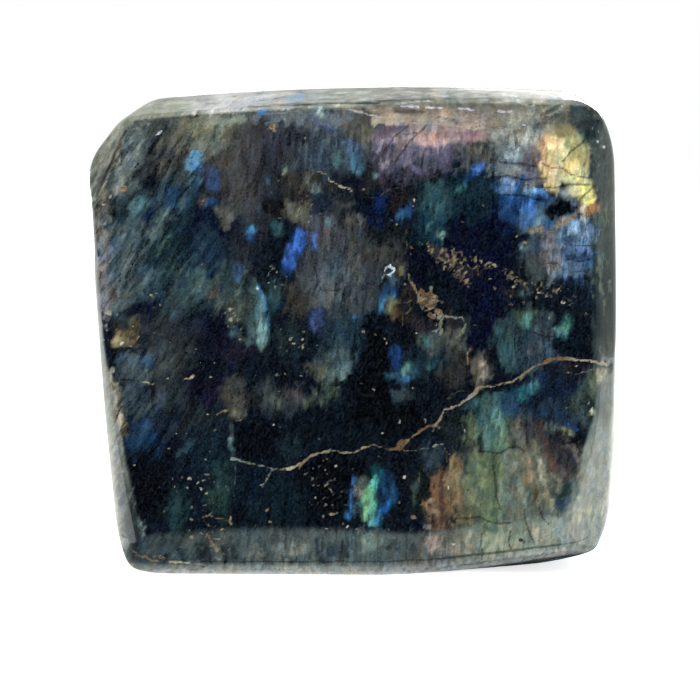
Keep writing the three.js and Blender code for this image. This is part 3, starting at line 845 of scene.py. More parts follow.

# Pale hairlines: light edges of cleavage steps, the far strand of the vein, and painted highlights along
# the top ridge, the brow and a small lamp glint.
THREADS = [
    # painted highlight: the pale line of reflected light along the top ridge and the brow's lower edge
    (0.14, "a8a898", [(-15.5, 91.8), (-10, 92.4), (-5, 92.6), (-0.4, 92.4)]),
    (0.3, "d8cfbe", [(-0.4, 92.4), (3, 91.5), (6, 90.9)]),
    (0.22, "c9b596", [(6, 90.9), (10, 90.2), (14, 89.8), (18, 89.5), (22, 89.3)]),
    (0.14, "a49482", [(22, 89.3), (26.4, 89)]),
    (0.12, "565a50", [(2.8, 75.4), (5, 76), (7, 77.3), (9.5, 77.9), (12, 78.2), (15, 79.5), (18, 80.8)]),
    (0.12, "6c6958", [(18, 80.9), (21, 81.4), (24, 82), (27, 82.6)]),
    (0.12, "8f9480", [(-6.6, 72.7), (-5, 72.8)]),
    (0.1, "6c7668", [(-23.2, 24), (-22.8, 22), (-23, 19.8)]),
    (0.1, "3c4a46", [(-34.5, 25.3), (-30, 29.4), (-26, 31.4)]),
    (0.14, "8c887c", [(41.3, 41.8), (43, 41.7), (45, 42), (46.5, 42.5)]),
    (0.14, "6c7a80", [(37.6, 60.3), (39.6, 59), (41.6, 58.2)]),
    (0.16, "6e6a54", [(10.6, 63.2), (10.5, 61), (11.6, 59.4)]),
    (0.14, "5c573e", [(10.4, 70), (10.2, 66.2)]),
    (0.16, "6b5f42", [(9.9, 50.8), (9.6, 52.4), (9.4, 54)]),
    (0.14, "7d7458", [(10.3, 53.6), (11.2, 54.6)]),
    (0.14, "7d7458", [(10.2, 55.6), (11.4, 56.3)]),
    (0.14, "565542", [(18.2, 36.8), (19.5, 38), (20.4, 38.6), (22.4, 38.3)]),
    (0.16, "6c6a50", [(13, 22.6), (12.8, 20.6)]),
    (0.16, "474a38", [(17.6, 28), (18.2, 26.4), (18.4, 24.6)]),
    # the glint: a painted highlight, the small ring-shaped reflection of a lamp, with a dark stroke inside
    (0.3, "e8eef2", [(6.1, 62.2), (7.2, 62.8), (8, 61.8), (7.2, 60.8), (6.3, 61.2), (6.1, 62.2)]),
    (0.2, "8fae9c", [(6.4, 61), (5.6, 60)]),
    # painted highlights: white dashes of reflected light on the brow, a tan stroke, and white streaks of
    # reflected light on the left of the top strip
    (0.3, "f4f2ea", [(9.2, 93.3), (12.8, 93.2)]),
    (0.3, "f4f2ea", [(14.2, 93.1), (17.2, 93)]),
    (0.26, "f0eee6", [(20.3, 92.8), (23.4, 92.6)]),
    (0.24, "e8e6de", [(28, 92.3), (30.6, 92.2)]),
    (0.3, "b09a78", [(13, 94), (13.6, 92.6)]),
    (0.2, "f0f2ec", [(-26, 92.6), (-22, 94), (-18.6, 95.2)]),
    (0.2, "f0f2ec", [(-24, 92.6), (-19, 94.4), (-14, 95.4)]),
    # chips along the lower left edge
    (0.3, "8a7658", [(-44, 6), (-42.5, 5), (-40.5, 4.3), (-38.5, 3.8)]),
    (0.3, "c4b688", [(-36.4, 3.7), (-34, 3.9), (-32.5, 3.4)]),
    (0.22, "9a8c6c", [(-31.6, 3.2), (-29, 3)]),
]

# The rusty vein and its strands: x, z, half width, colour.
CREAM, SAND, TAN, RUST, MOSS, GREY = "d0bc94", "b0a07c", "9a8258", "7e5e38", "868868", "989c90"
MAIN_VEIN = [
    (-23.6, 25, 0.5, GREY), (-22.4, 24.8, 0.3, GREY), (-20.5, 24.4, 0.26, MOSS), (-17, 23.7, 0.24, GREY),
    (-15.3, 23.2, 0.18, GREY), (-12.2, 23.2, 0.36, CREAM), (-10.2, 24.2, 0.5, TAN), (-7, 26.3, 0.28, SAND),
    (-4, 26.9, 0.34, MOSS), (-0.6, 26.3, 0.24, SAND), (4.2, 28.1, 0.34, TAN), (7, 27, 0.3, RUST),
    (9, 27.1, 0.5, RUST), (9.8, 28.2, 0.8, RUST), (11.4, 29.5, 0.3, TAN), (13.6, 31.1, 0.38, RUST),
    (14.9, 31.7, 0.44, RUST), (16.2, 31.6, 0.3, TAN), (17.7, 34.7, 0.34, SAND), (20.8, 35.8, 0.36, SAND),
    (23.2, 37.6, 0.55, SAND), (24.2, 39, 0.36, TAN), (27.6, 39.4, 0.26, SAND), (31.8, 40.6, 0.28, SAND),
    (34.8, 42.8, 0.34, TAN), (38.6, 44.6, 0.5, RUST), (40.8, 44.8, 0.56, RUST), (44, 44.3, 0.22, CREAM),
    (47.4, 43.8, 0.45, SAND), (49, 43.4, 0.45, CREAM), (50.6, 42.8, 0.3, CREAM),
]
VEIN_STRANDS = [
    [(9.8, 26.8, 0.24, TAN), (12, 26.8, 0.16, MOSS), (14.5, 27.2, 0.16, GREY), (17.4, 28.2, 0.2, SAND),
     (18.2, 26.6, 0.16, MOSS)],
    [(-15.6, 23.2, 0.16, GREY), (-16.2, 22.2, 0.28, GREY), (-17.2, 20.4, 0.16, GREY),
     (-18, 19.7, 0.24, GREY)],
    [(-10.2, 24.2, 0.36, TAN), (-10.4, 23, 0.3, RUST)],
    [(9.4, 28.9, 0.4, RUST), (8.7, 28, 0.3, RUST), (9.2, 27, 0.4, RUST)],
    [(32.4, 40.4, 0.2, TAN), (33.2, 41.6, 0.24, TAN), (34.4, 42, 0.2, TAN)],
    [(-29.6, 13.2, 0.2, TAN), (-28, 13.7, 0.22, TAN), (-24.8, 12.6, 0.16, RUST)],
    [(-28.6, 12.2, 0.28, TAN), (-28, 11.4, 0.16, TAN)],
    [(-28.6, 10, 0.34, TAN), (-27.9, 8.6, 0.4, RUST), (-26.6, 6.2, 0.5, SAND)],
    [(17, 53.2, 0.24, SAND), (21, 52.6, 0.22, GREY), (21.7, 51.7, 0.3, MOSS), (21.1, 49.6, 0.36, MOSS),
     (20, 48.9, 0.2, MOSS)],
    [(-41.4, 40.3, 0.2, SAND), (-39, 39.5, 0.3, CREAM), (-38.2, 39.6, 0.2, SAND)],
    [(-26.4, 33.6, 0.16, TAN), (-25.3, 34.3, 0.26, TAN), (-24.1, 34.6, 0.18, TAN)],
    [(-23.5, 32.4, 0.14, MOSS), (-22.3, 32.7, 0.18, SAND), (-21.3, 32.9, 0.14, SAND)],
    [(-32.8, 40.6, 0.3, CREAM), (-31.6, 40.8, 0.28, SAND), (-30.8, 41.4, 0.34, CREAM)],
    [(-7.2, 80.9, 0.14, SAND), (-5.2, 80.1, 0.18, TAN), (-4.1, 79, 0.26, CREAM), (-2, 77.8, 0.3, CREAM),
     (0.4, 76.7, 0.24, SAND)],
    [(-1, 77.6, 0.14, SAND), (0.3, 77.5, 0.18, TAN)],
    [(1.6, 77.2, 0.2, TAN), (2.1, 77.5, 0.2, SAND)],
    [(10.6, 61, 0.2, TAN), (12.2, 58, 0.4, TAN), (12.7, 56.4, 0.5, TAN)],
    [(22, 46.2, 0.22, SAND), (22.1, 45, 0.26, TAN), (22.4, 43.6, 0.22, RUST)],
    [(30.5, 61.4, 0.3, MOSS), (30.5, 60, 0.2, MOSS)],
    [(-10.9, 71.4, 0.2, MOSS), (-10.2, 73.6, 0.3, TAN), (-9.7, 75.1, 0.3, TAN)],
]

# Tan crust where the vein widens between the middle and the right: lumps with a crumbly outline.
CRUSTS = [
    (13.4, 57.6, 0.8, 0.4, 110, RUST), (14.4, 57.1, 1, 0.6, 20, RUST), (15.5, 56.2, 0.8, 0.5, 100, TAN),
    (13.5, 55.6, 0.9, 0.4, 160, RUST), (15.2, 55.1, 0.9, 0.4, 150, RUST), (14.6, 54.3, 0.7, 0.2, 10, SAND),
    (16.6, 53.8, 0.8, 0.4, 130, TAN), (15.2, 53, 0.9, 0.4, 140, RUST), (17, 51.8, 1.2, 0.3, 88, MOSS),
    (17.2, 50, 0.8, 0.3, 80, MOSS), (16.6, 52.9, 0.5, 0.3, 0, SAND), (15, 58.4, 0.6, 0.3, 80, MOSS),
    (15.7, 56.8, 0.4, 0.4, 0, SAND),
]

# Flecks: small bright grains, in groups of one colour. x, z, half length, half width, tilt.
FLECKS = {
    "efece0": [
        # white: bright grains, and painted highlights of small lamps at (-37.1, 88), (-18.2, 58.4), (47.3,
        # 86.6) and (48.6, 85.5)
        (-37.1, 88, 0.95, 0.26, 36), (-18.2, 58.4, 0.4, 0.34, 100), (37.7, 87.8, 0.3, 0.28, 0),
        (47.3, 86.6, 0.5, 0.3, -35), (48.6, 85.5, 0.4, 0.35, 0), (43.6, 43.1, 0.48, 0.2, 18),
        (33, 89.7, 0.5, 0.22, 5), (-1, 11.5, 0.34, 0.26, 0), (40.5, 93.4, 0.3, 0.25, 0),
    ],
    "e2d6b4": [
        (-31.9, 21, 0.5, 0.34, 10), (4.2, 38.7, 0.42, 0.22, 50), (-15.2, 31.9, 0.5, 0.27, 95),
        (-28, 34, 0.3, 0.3, 0), (-34.2, 30, 0.46, 0.22, 22), (11.8, 75.4, 0.3, 0.3, 0),
        (-13, 90.6, 0.27, 0.27, 0), (-15.5, 76.8, 0.34, 0.26, 0), (-8.5, 71.2, 0.26, 0.24, 0),
        (35.9, 57.5, 0.6, 0.32, -10), (-12, 48.5, 0.34, 0.5, 20), (10, 21.5, 0.45, 0.3, -20),
        (6, 30.2, 0.5, 0.2, 25), (-44.8, 47.5, 0.8, 0.5, 40), (-7.3, 17.5, 0.34, 0.24, 70),
        (-29.6, 18.9, 0.5, 0.28, 100), (-3.4, 23.9, 0.4, 0.3, 80), (-12.5, 23.1, 0.6, 0.24, 5),
        (7.3, 10.9, 0.42, 0.2, 5), (18.6, 19.4, 0.5, 0.3, 100), (21.8, 30.7, 0.5, 0.24, 88),
        (19.7, 7.9, 0.6, 0.34, 5), (12.5, 49.6, 0.45, 0.18, 0), (12, 39.1, 0.45, 0.2, 0),
        (40.6, 55.3, 0.5, 0.22, 0), (-10, 41.2, 0.5, 0.3, -18), (-30.2, 20.2, 0.6, 0.2, 18),
        (35.4, 28.3, 0.4, 0.2, 0), (48.8, 40.8, 0.3, 0.4, 60),
    ],
    "b5a884": [
        (6.2, 48.6, 0.4, 0.24, 100), (6.6, 47.8, 0.5, 0.2, 110), (-9.5, 47, 0.5, 0.3, 95),
        (-11, 79.1, 0.22, 0.24, 0), (-14.2, 78.9, 0.24, 0.3, 60), (-13.4, 80.2, 0.4, 0.26, 20),
        (-9.2, 87.1, 0.3, 0.2, 0), (11.6, 74.3, 0.34, 0.26, 80), (-28.5, 75.2, 0.3, 0.2, 60),
        (-42.7, 51, 0.36, 0.24, 0), (-42.9, 46.9, 0.4, 0.16, 0), (-43.2, 48.3, 0.3, 0.3, 0),
        (-48.2, 74.6, 0.7, 0.3, 160), (-46.8, 76, 0.6, 0.4, 80), (-44.3, 78.4, 0.24, 0.24, 0),
        (-47.4, 53.4, 0.9, 0.5, 170), (-45.6, 53.2, 0.4, 0.3, 20), (-47.6, 50, 0.4, 0.3, 0),
        (-29.5, 58.7, 0.26, 0.3, 0), (-28.2, 63, 0.3, 0.18, 0), (-29, 63.2, 0.24, 0.24, 0),
        (-36.3, 63.1, 0.7, 0.2, 10), (-23.4, 52.2, 0.4, 0.6, 60), (-23.9, 51.2, 0.4, 0.2, 20),
        (-23.6, 54.2, 0.5, 0.4, 80), (-22.6, 53, 0.3, 0.4, 60), (-21.6, 48.4, 0.5, 0.24, 150),
        (-26.7, 43.8, 0.4, 0.28, 80), (-27.5, 41, 0.4, 0.2, 10), (-36, 40.7, 0.3, 0.4, 60),
        (-39.9, 42.3, 0.3, 0.2, 0), (-30.3, 46.6, 0.36, 0.22, 150), (-28.5, 18.1, 0.3, 0.5, 70),
        (-29, 20.7, 0.5, 0.2, 60), (-32.4, 19.4, 0.3, 0.34, 0), (-34.8, 19.4, 0.24, 0.3, 0),
        (-32.4, 30, 0.3, 0.24, 40), (-35.8, 27.2, 0.3, 0.24, 0), (-28.8, 24.9, 0.4, 0.28, 90),
        (-42.6, 23.6, 0.4, 0.16, 0), (-31.5, 15.3, 0.3, 0.22, 20), (-29.2, 14.7, 0.24, 0.22, 0),
        (-27, 4.8, 0.3, 0.4, 60), (-26.4, 4.4, 0.3, 0.24, 0), (-25.6, 10.9, 0.3, 0.26, 0),
        (-16.3, 62.8, 0.4, 0.14, 0), (-15.2, 62, 0.5, 0.16, 10), (-14.6, 61.5, 0.3, 0.3, 0),
        (-13.6, 59.1, 0.3, 0.2, 0), (-14.8, 58.9, 0.5, 0.2, 10), (-16, 59.4, 0.3, 0.3, 0),
        (-11.4, 47.6, 0.4, 0.3, 160), (-9.4, 50, 0.4, 0.24, 80), (-13, 41.8, 0.3, 0.26, 120),
        (-8.2, 72.3, 0.24, 0.3, 0), (-14.1, 71.8, 0.5, 0.18, 150), (-14.1, 31.3, 0.22, 0.22, 0),
        (2, 50.2, 0.5, 0.3, 20), (2.5, 49.6, 0.4, 0.26, 80), (4.4, 49.5, 0.4, 0.16, 0),
        (1.9, 39.9, 0.4, 0.2, 0), (10.2, 59.2, 0.3, 0.22, 0), (9.9, 57.8, 0.2, 0.26, 0),
        (7.4, 71.4, 0.5, 0.24, 140), (8.4, 70.6, 0.4, 0.24, 140), (5.6, 11.3, 0.3, 0.18, 0),
        (-5.3, 23.3, 0.34, 0.2, 0), (-9.2, 22.1, 0.5, 0.22, 10), (-5, 11.1, 0.5, 0.22, 0),
        (9.1, 32.4, 0.5, 0.26, 80), (14.1, 32.7, 0.4, 0.26, 90), (22.4, 25.9, 0.24, 0.24, 0),
        (30.7, 67.2, 0.5, 0.2, 70), (31.8, 57.9, 0.2, 0.2, 0), (37.4, 56.8, 0.24, 0.3, 0),
        (38.6, 56.9, 0.3, 0.18, 0), (41.8, 55, 0.4, 0.2, 140), (31, 58.8, 0.6, 0.34, 30),
        (38, 52.5, 0.3, 0.24, 60), (45.2, 53.4, 0.26, 0.24, 0), (27.2, 62.8, 0.3, 0.5, 60),
        (26, 63, 0.4, 0.24, 30), (24.8, 63.6, 0.6, 0.26, 140), (22.2, 62.6, 0.5, 0.24, 140),
        (40.2, 94.4, 0.3, 0.2, 0), (41.4, 92.5, 0.4, 0.2, 10), (47.6, 88.4, 0.24, 0.3, 0),
        (33.3, 59.3, 0.3, 0.2, 0), (25, 74.2, 0.3, 0.3, 0), (21.2, 71, 0.26, 0.24, 0),
        (23.5, 51.3, 0.4, 0.22, 30), (-37.6, 57.3, 0.5, 0.2, 0), (-38.6, 56.8, 0.4, 0.5, 60),
    ],
    "a68a62": [
        (-15.3, 89.3, 0.9, 0.7, 110), (-14.9, 88.4, 0.5, 0.5, 0), (-44, 77.4, 1, 0.9, 90),
        (18.6, 63.8, 0.55, 0.4, 120), (14.6, 66.2, 0.6, 0.3, 150), (15.4, 65.7, 0.5, 0.4, 0),
        (17, 65.3, 0.5, 0.26, 160), (17.6, 63.4, 0.4, 0.3, 60), (22, 60.1, 0.6, 0.44, 10),
        (30.5, 55.4, 0.8, 0.32, 0), (-23.9, 13.2, 0.6, 0.4, 80), (-23.6, 12, 0.5, 0.4, 0),
        (-24.2, 12.6, 0.3, 0.3, 0), (-16.1, 12.7, 0.7, 0.3, -12), (-3.9, 14, 1.1, 0.26, 5),
        (-4.4, 14.3, 0.5, 0.24, 30), (-5.2, 19.8, 0.5, 0.2, -20), (-4.5, 19.2, 0.3, 0.26, 0),
        (-16.6, 15, 0.5, 0.4, 60), (-31.6, 9.3, 0.6, 0.5, 120), (21, 8.5, 0.8, 0.4, 90),
        (33, 67, 0.8, 0.4, 160), (31.4, 68.4, 0.4, 0.3, 120), (5.1, 25.7, 0.24, 0.22, 0),
        (-26.6, 6.3, 0.8, 0.5, 20), (-28, 7.4, 0.5, 0.24, 40),
    ],
    "83735c": [
        (17.2, 66, 0.4, 0.26, 20), (18.2, 64.8, 0.4, 0.3, 80), (17.8, 62.6, 0.3, 0.26, 0),
        (19.2, 62.6, 0.4, 0.3, 110), (19.6, 61.7, 0.4, 0.26, 140), (20.4, 61.1, 0.4, 0.24, 140),
        (21.3, 60.8, 0.3, 0.34, 0), (21.8, 61.7, 0.26, 0.3, 60), (22.4, 59.4, 0.3, 0.24, 0),
        (20.6, 63.2, 0.3, 0.24, 30), (22.8, 64.4, 0.26, 0.24, 0), (23.4, 62.2, 0.24, 0.24, 0),
        (24.2, 61, 0.26, 0.26, 0), (26.6, 62, 0.3, 0.2, 0), (28.4, 59.8, 0.24, 0.24, 0),
        (16.2, 63.2, 0.24, 0.3, 60), (16.4, 64.2, 0.26, 0.2, 0), (13.2, 66.8, 0.3, 0.24, 30),
        (30.8, 61.7, 0.34, 0.26, 0), (32.6, 62.4, 0.24, 0.34, 60), (33, 55.6, 0.5, 0.2, 0),
        (-37, 55.1, 0.4, 0.26, 80), (-38.6, 54.5, 0.3, 0.36, 0), (-36.8, 49.4, 0.4, 0.3, 20),
        (-35.4, 47.9, 0.3, 0.2, 40), (-14.6, 41.5, 0.4, 0.16, 0), (-16.6, 43.1, 0.26, 0.24, 0),
        (-7.8, 23.2, 0.24, 0.3, 60), (-4.8, 25.1, 0.34, 0.3, 0), (-2.4, 25.1, 0.34, 0.26, 0),
        (-7.9, 21.5, 0.5, 0.2, 140), (-7.7, 20, 0.6, 0.2, 40), (-6.4, 16.8, 0.4, 0.24, 110),
        (-5.6, 13.6, 0.6, 0.3, 70), (-1.9, 12.2, 0.3, 0.3, 0), (-2.6, 10.5, 0.4, 0.2, 30),
        (-8.5, 16.6, 0.26, 0.26, 0), (-2.4, 21.5, 0.3, 0.2, 30), (0.1, 23.1, 0.3, 0.2, 0),
        (-3.5, 21, 0.4, 0.2, 90), (-1.8, 18.7, 0.7, 0.14, 12), (-3.7, 15.7, 0.24, 0.18, 0),
        (-7, 38, 0.5, 0.4, 60), (8.2, 9.2, 0.8, 0.4, 150), (5.9, 10.4, 0.5, 0.2, 80),
        (12, 13.5, 0.5, 0.7, 60), (9.2, 16.4, 0.4, 0.2, 60), (0.9, 11, 0.4, 0.24, 10),
        (-36.8, 14.5, 0.36, 0.3, 0), (-37.8, 19.3, 0.24, 0.24, 0), (-33.3, 21.4, 0.24, 0.3, 60),
        (-28.2, 22, 0.9, 0.2, -8), (-27.6, 21.3, 0.5, 0.18, 10), (-27.2, 16.3, 0.3, 0.2, 150),
        (-24.7, 19.6, 0.6, 0.2, 150), (-23.2, 17.9, 0.24, 0.24, 0), (-26.8, 30.8, 0.4, 0.2, 30),
        (-19, 11.7, 0.6, 0.2, 80), (-17.6, 19.7, 0.5, 0.2, 20), (-23.4, 9.6, 0.4, 0.24, 20),
        (-20.6, 9.4, 0.4, 0.24, 0), (-22.4, 7.3, 0.5, 0.2, 5), (-9.6, 7.2, 0.3, 0.2, 0),
        (36, 83.2, 0.3, 0.2, 0), (37.6, 90.6, 0.5, 0.2, 10), (-11.3, 14.4, 0.24, 0.22, 0),
        (15.6, 30.7, 0.6, 0.26, 60), (16.8, 31.4, 0.7, 0.3, 50), (43.6, 34.9, 0.2, 0.2, 0),
        (46.2, 57.8, 0.24, 0.24, 0), (-4, 40.7, 0.5, 0.2, 20), (41.2, 17.1, 0.26, 0.22, 0),
    ],
    "1a1614": [
        (33.3, 8.4, 0.7, 0.4, 20), (33.2, 8.3, 0.45, 0.75, 20), (33.7, 8, 0.6, 0.24, 130),
        (21.2, 23.6, 0.4, 0.3, 60), (22.3, 22.4, 0.3, 0.2, 0), (36.2, 16.6, 0.5, 0.3, 90),
        (22.6, 18.8, 0.4, 0.4, 0), (-2.2, 42.8, 0.3, 0.24, 0), (5.4, 59.4, 0.6, 0.4, 150),
    ],
}
FLECK_SIZE = 0.72  # all flecks are drawn at this share of their size
GOLD_DUST, PALE_DUST = ["8d7450", "6a5a44", "a8926a", "54493c"], ["9c988a", "6f7468", "b9b098", "5a615c"]

# Dust of tiny flecks: seed, count, x, z, half length, half width, tilt, size, colours.
CLUSTERS = [
    (201, 90, 20.5, 64, 8, 1.6, -17, 0.26, GOLD_DUST),
    (219, 46, 19.6, 61.8, 5, 1.5, -45, 0.26, GOLD_DUST),
    (220, 50, 37, 58, 8, 1.5, -21, 0.24, GOLD_DUST),
    (202, 24, 31.5, 59.4, 4, 2, -20, 0.24, GOLD_DUST),
    (203, 46, -4.5, 19, 4.6, 7, 10, 0.17, PALE_DUST),
    (204, 40, -29, 20, 6.4, 7, 0, 0.17, PALE_DUST),
    (205, 34, -27.5, 9, 2.6, 5, 30, 0.24, GOLD_DUST),
    (206, 18, -23.4, 53, 2, 3.4, 60, 0.2, PALE_DUST),
    (207, 22, -12, 46, 4, 6, -40, 0.18, PALE_DUST),
    (208, 40, 14.6, 56, 1.5, 2, 110, 0.36, GOLD_DUST),
    (215, 24, 16, 52, 1, 4, 0, 0.24, PALE_DUST),
    (216, 26, -40, 5, 6, 0.9, -10, 0.22, GOLD_DUST),
    (217, 20, -42, 89, 3.6, 1.8, 40, 0.26, PALE_DUST),
    (218, 26, 36, 91, 5, 1.8, 0, 0.22, PALE_DUST),
    (209, 22, -46, 50, 2, 5, 90, 0.2, GOLD_DUST),
    (210, 26, -40, 91, 5, 2.4, 10, 0.22, PALE_DUST),
    (211, 90, 0, 42, 62, 52, 0, 0.13, PALE_DUST),
    (212, 16, 44, 91, 4, 3, 0, 0.16, PALE_DUST),
    (213, 14, -15, 60, 2, 3, 0, 0.2, PALE_DUST),
    (214, 16, -8.6, 75, 2, 6, 60, 0.2, GOLD_DUST),
]

# The dark hollow among the blue: a tilted oval, darker than all around it.
HOLLOW_HUE = "02040a"
HOLLOW = (39.6, 73.5, 2.6, 1.5, 22)

# Bevels and sides around the front: where their colours are measured (X or Z), and the stops as
# place, colour and how far before the edge the colour starts to fade in. The bevels' colours are
# partly the stone's own and partly painted reflection of the pale room; the sides, corners, top strip,
# undercut and foot are mostly painted reflection and painted light from the room and the light table.
X, Z = 0, 2
RIM_TINTS_AND_REFLECTIONS = [
    ("left bevel", Z, [(8, "10181c", 0), (20, "484e48", 0), (31, "84867a", 0)]),
    ("left upper bevel", Z, [(31, "84867a", 0), (40, "909084", 0), (50, "4c5046", 0)]),
    ("lower bevel", X, [(-41, "364042", 0), (-20, "525c5a", 0), (11, "566260", 0)]),
    ("lower right bevel", X, [(11, "484e4c", 0), (18, "6a6660", 0), (25, "808c78", 0), (45, "8a988e", 0)]),
    # painted reflection of the light table on the undercut and right undercut, darker towards the top
    ("undercut", X, [(-38, "566060", 0), (-10, "727e7c", 0), (13, "566060", 0)]),
    ("right undercut", X, [(12, "50585a", 0), (28, "7e8684", 0), (46, "a8aeb0", 0)]),
    ("right bevel", Z, [(12, "606c66", 0), (29, "7e8a80", 0)]),
    ("right upper bevel", Z, [(29, "868e84", 0), (39, "687064", 0)]),
    ("right edge", Z, [(42, "585e54", 0), (50, "26302e", 0), (60, "182426", 0), (72, "404c46", 0),
                       (83, "3e4640", 0)]),
    ("top left bevel", Z, [(76, "3c4038", 0), (80, "686a58", 0), (88, "888a78", 0)]),
    # painted reflection: the top strip and the top left corner mirror the bright room at a grazing angle
    ("top front", X, [(-40, "aeb4a2", 0), (-31, "b8c0ae", 0), (-24, "ffffff", 0), (-16, "b8c4c4", 0),
                      (0, "bcc4b2", 0), (12, "92988c", 0), (38, "e6ead6", 0), (44, "949c98", 0)]),
    ("top left corner", Z, [(78, "74766c", 0.8), (88, "bcbea6", 0.8), (95, "d8dcc4", 1)]),
    ("top right corner", Z, [(84, "4a5254", 0), (90, "444e4c", 0), (95, "8a948c", 0)]),
    # painted reflection: the sides and lower corners turn pale towards their outer edges, mirroring the
    # bright room and the light table
    ("left side", Z, [(2, "ccd0cc", 4.4), (22, "b4b8b0", 3.4), (38, "989a8e", 0.8), (80, "6c6e62", 0.5)]),
    ("lower left corner", Z, [(0, "c8ccc8", 4), (12, "bcc2ba", 3.6)]),
    ("right side", Z, [(6, "e8ece6", 2.5), (38, "dce4d6", 1.4), (46, "848c7c", 0.7), (56, "2c3632", 0.3),
                       (84, "303a3a", 0.5)]),
    ("lower right corner", Z, [(2, "f0f2f0", 3), (16, "d6ddd4", 2)]),
    # painted light: the foot is painted white, the light table's brightness on it
    ("foot", X, [(-45, "fcfefc", 4.6), (10, "fcfefc", 5), (45, "fcfefc", 8)]),
]


# ---- Brushes: numpy arithmetic on the face's x and z, in millimetres ----
LIGHTNESS = np.array([0.2126, 0.7152, 0.0722])  # how light red, green and blue look

# The stone's own tones, from its darkest to its lightest.
SMOKE = ["02060f", "091524", "112231", "1d303d", "2e424d", "495c62", "6a7a79", "a9ad9f", "ffffff"]


def linear(hue):
    """A colour written as six hexadecimal digits, in linear light."""
    steps = np.array([int(hue[i:i + 2], 16) for i in (0, 2, 4)]) / 255
    return np.where(steps <= 0.04045, steps / 12.92, ((steps + 0.055) / 1.055) ** 2.4)


def waves(u, v, size, seed):
    """Smooth random waves of about the given size, from -1 to 1."""
    lattice = np.random.default_rng(seed).uniform(-1, 1, (WAVE_LATTICE, WAVE_LATTICE))
    u, v = u / size, v / size
    column, row = np.floor(u).astype(int), np.floor(v).astype(int)
    a, b = u - column, v - row
    a, b = a * a * (3 - 2 * a), b * b * (3 - 2 * b)

    def corner(p, q):
        return lattice[(column + p) % WAVE_LATTICE, (row + q) % WAVE_LATTICE]

    near = corner(0, 0) * (1 - a) + corner(1, 0) * a
    far = corner(0, 1) * (1 - a) + corner(1, 1) * a
    return near * (1 - b) + far * b


def ragged(u, v, size, seed):
    """Waves with finer waves on them."""
    return (waves(u, v, size, seed) + 0.5 * waves(u, v, size / 2.1, seed + 1)
            + 0.25 * waves(u, v, size / 4.3, seed + 2)) / 1.4


def turned(x, z, centre_x, centre_z, tilt):
    """Coordinates along and across a line tilted from +X."""
    c, s = math.cos(math.radians(tilt)), math.sin(math.radians(tilt))
    return (x - centre_x) * c + (z - centre_z) * s, (z - centre_z) * c - (x - centre_x) * s


def smooth(value):
    value = np.clip(value, 0, 1)
    return value * value * (3 - 2 * value)


def blend(paint, hue, amount):
    return paint + (linear(hue) - paint) * amount[:, None]


ROUND = 2.0  # exponents of a mark's outline: an ellipse,
PANE = 2.6  # a pane with rounded corners,
BLOCK = 4.0  # and a block


def reach(x, z, spot, squareness=ROUND):
    """How far outside an ellipse, or a squarer patch, each point is, in millimetres."""
    centre_x, centre_z, half_length, half_width, tilt = spot
    along, across = turned(x, z, centre_x, centre_z, tilt)
    ratio = (abs(along / half_length) ** squareness + abs(across / half_width) ** squareness)
    far = np.hypot(along, across)
    return far - far / np.maximum(ratio, 1e-9) ** (1 / squareness)


def line_reach(x, z, points):
    """Distance to a line with points (x, z), and how far along it the nearest point is."""
    best = np.full(x.shape, 1e9)
    place = np.zeros(x.shape)
    for number, ((x0, z0), (x1, z1)) in enumerate(zip(points, points[1:])):
        length = (x1 - x0) ** 2 + (z1 - z0) ** 2
        t = np.clip(((x - x0) * (x1 - x0) + (z - z0) * (z1 - z0)) / length, 0, 1)
        far = np.hypot(x - x0 - t * (x1 - x0), z - z0 - t * (z1 - z0))
        nearer = far < best
        best = np.where(nearer, far, best)
        place = np.where(nearer, number + t, place)
    return best, place


def splinters(x, z, long, wide, tilt, seed):
    """Three random numbers from 0 to 1, the same all over each cell of about long by wide."""
    table = np.random.default_rng(seed).uniform(0, 1, (WAVE_LATTICE, WAVE_LATTICE, 5))
    along, across = turned(x, z, 0, 0, tilt)
    u, v = along / long, across / wide
    column, row = np.floor(u).astype(int), np.floor(v).astype(int)
    best = np.full(x.shape, 1e9)
    pick = np.zeros((len(x), 3))
    for p in (-1, 0, 1):
        for q in (-1, 0, 1):
            cell = table[(column + p) % WAVE_LATTICE, (row + q) % WAVE_LATTICE]
            far = (column + p + cell[:, 3] - u) ** 2 + (row + q + cell[:, 4] - v) ** 2
            nearer = far < best
            best = np.where(nearer, far, best)
            pick[nearer] = cell[nearer, :3]
    return pick


GRAIN_TILTS = (60, 87)  # degrees from +X, on the left and on the right of the face
GRAIN_TURNS = (-26, -12)  # where along X the one grain turns into the other


def both_grains(x, z, make):
    """Slanting grain on the left of the face, turning into upright grain on the right."""
    start, end = GRAIN_TURNS
    upright = smooth((x - start + 3 * waves(x, z, size=7, seed=7)) / (end - start))
    slanting, standing = (make(tilt) for tilt in GRAIN_TILTS)
    share = upright[:, None] if slanting.ndim > 1 else upright
    return slanting + (standing - slanting) * share


def smoky(paint, keep):
    """Pulls colours towards the stone's smoky tone of the same lightness."""
    tones = np.array([linear(hue) for hue in SMOKE])
    light = paint @ LIGHTNESS
    own = np.stack([np.interp(light, tones @ LIGHTNESS, tones[:, k]) for k in range(3)], 1)
    return own + (paint - own) * keep


BEVEL_HUSH = 0.35  # how much weaker the pattern is on a bevel
FACE_HUSH = 0.6  # and in the fainter places of the face


def calmness(rims):
    """How much pattern shows: none where a side's light covers it, most of it on the bevels."""
    return np.prod([1 - share * (1 if stops[0][2] else BEVEL_HUSH) for share, _, stops in rims], 0)


def hush(x, z):
    """How strong the strokes of the face are: 1 where they show in full."""
    faint = [smooth(0.5 - reach(x, z, spot) / (2 * soft)) for *spot, soft in HUSHED]
    return 1 - FACE_HUSH * np.max(faint, 0)


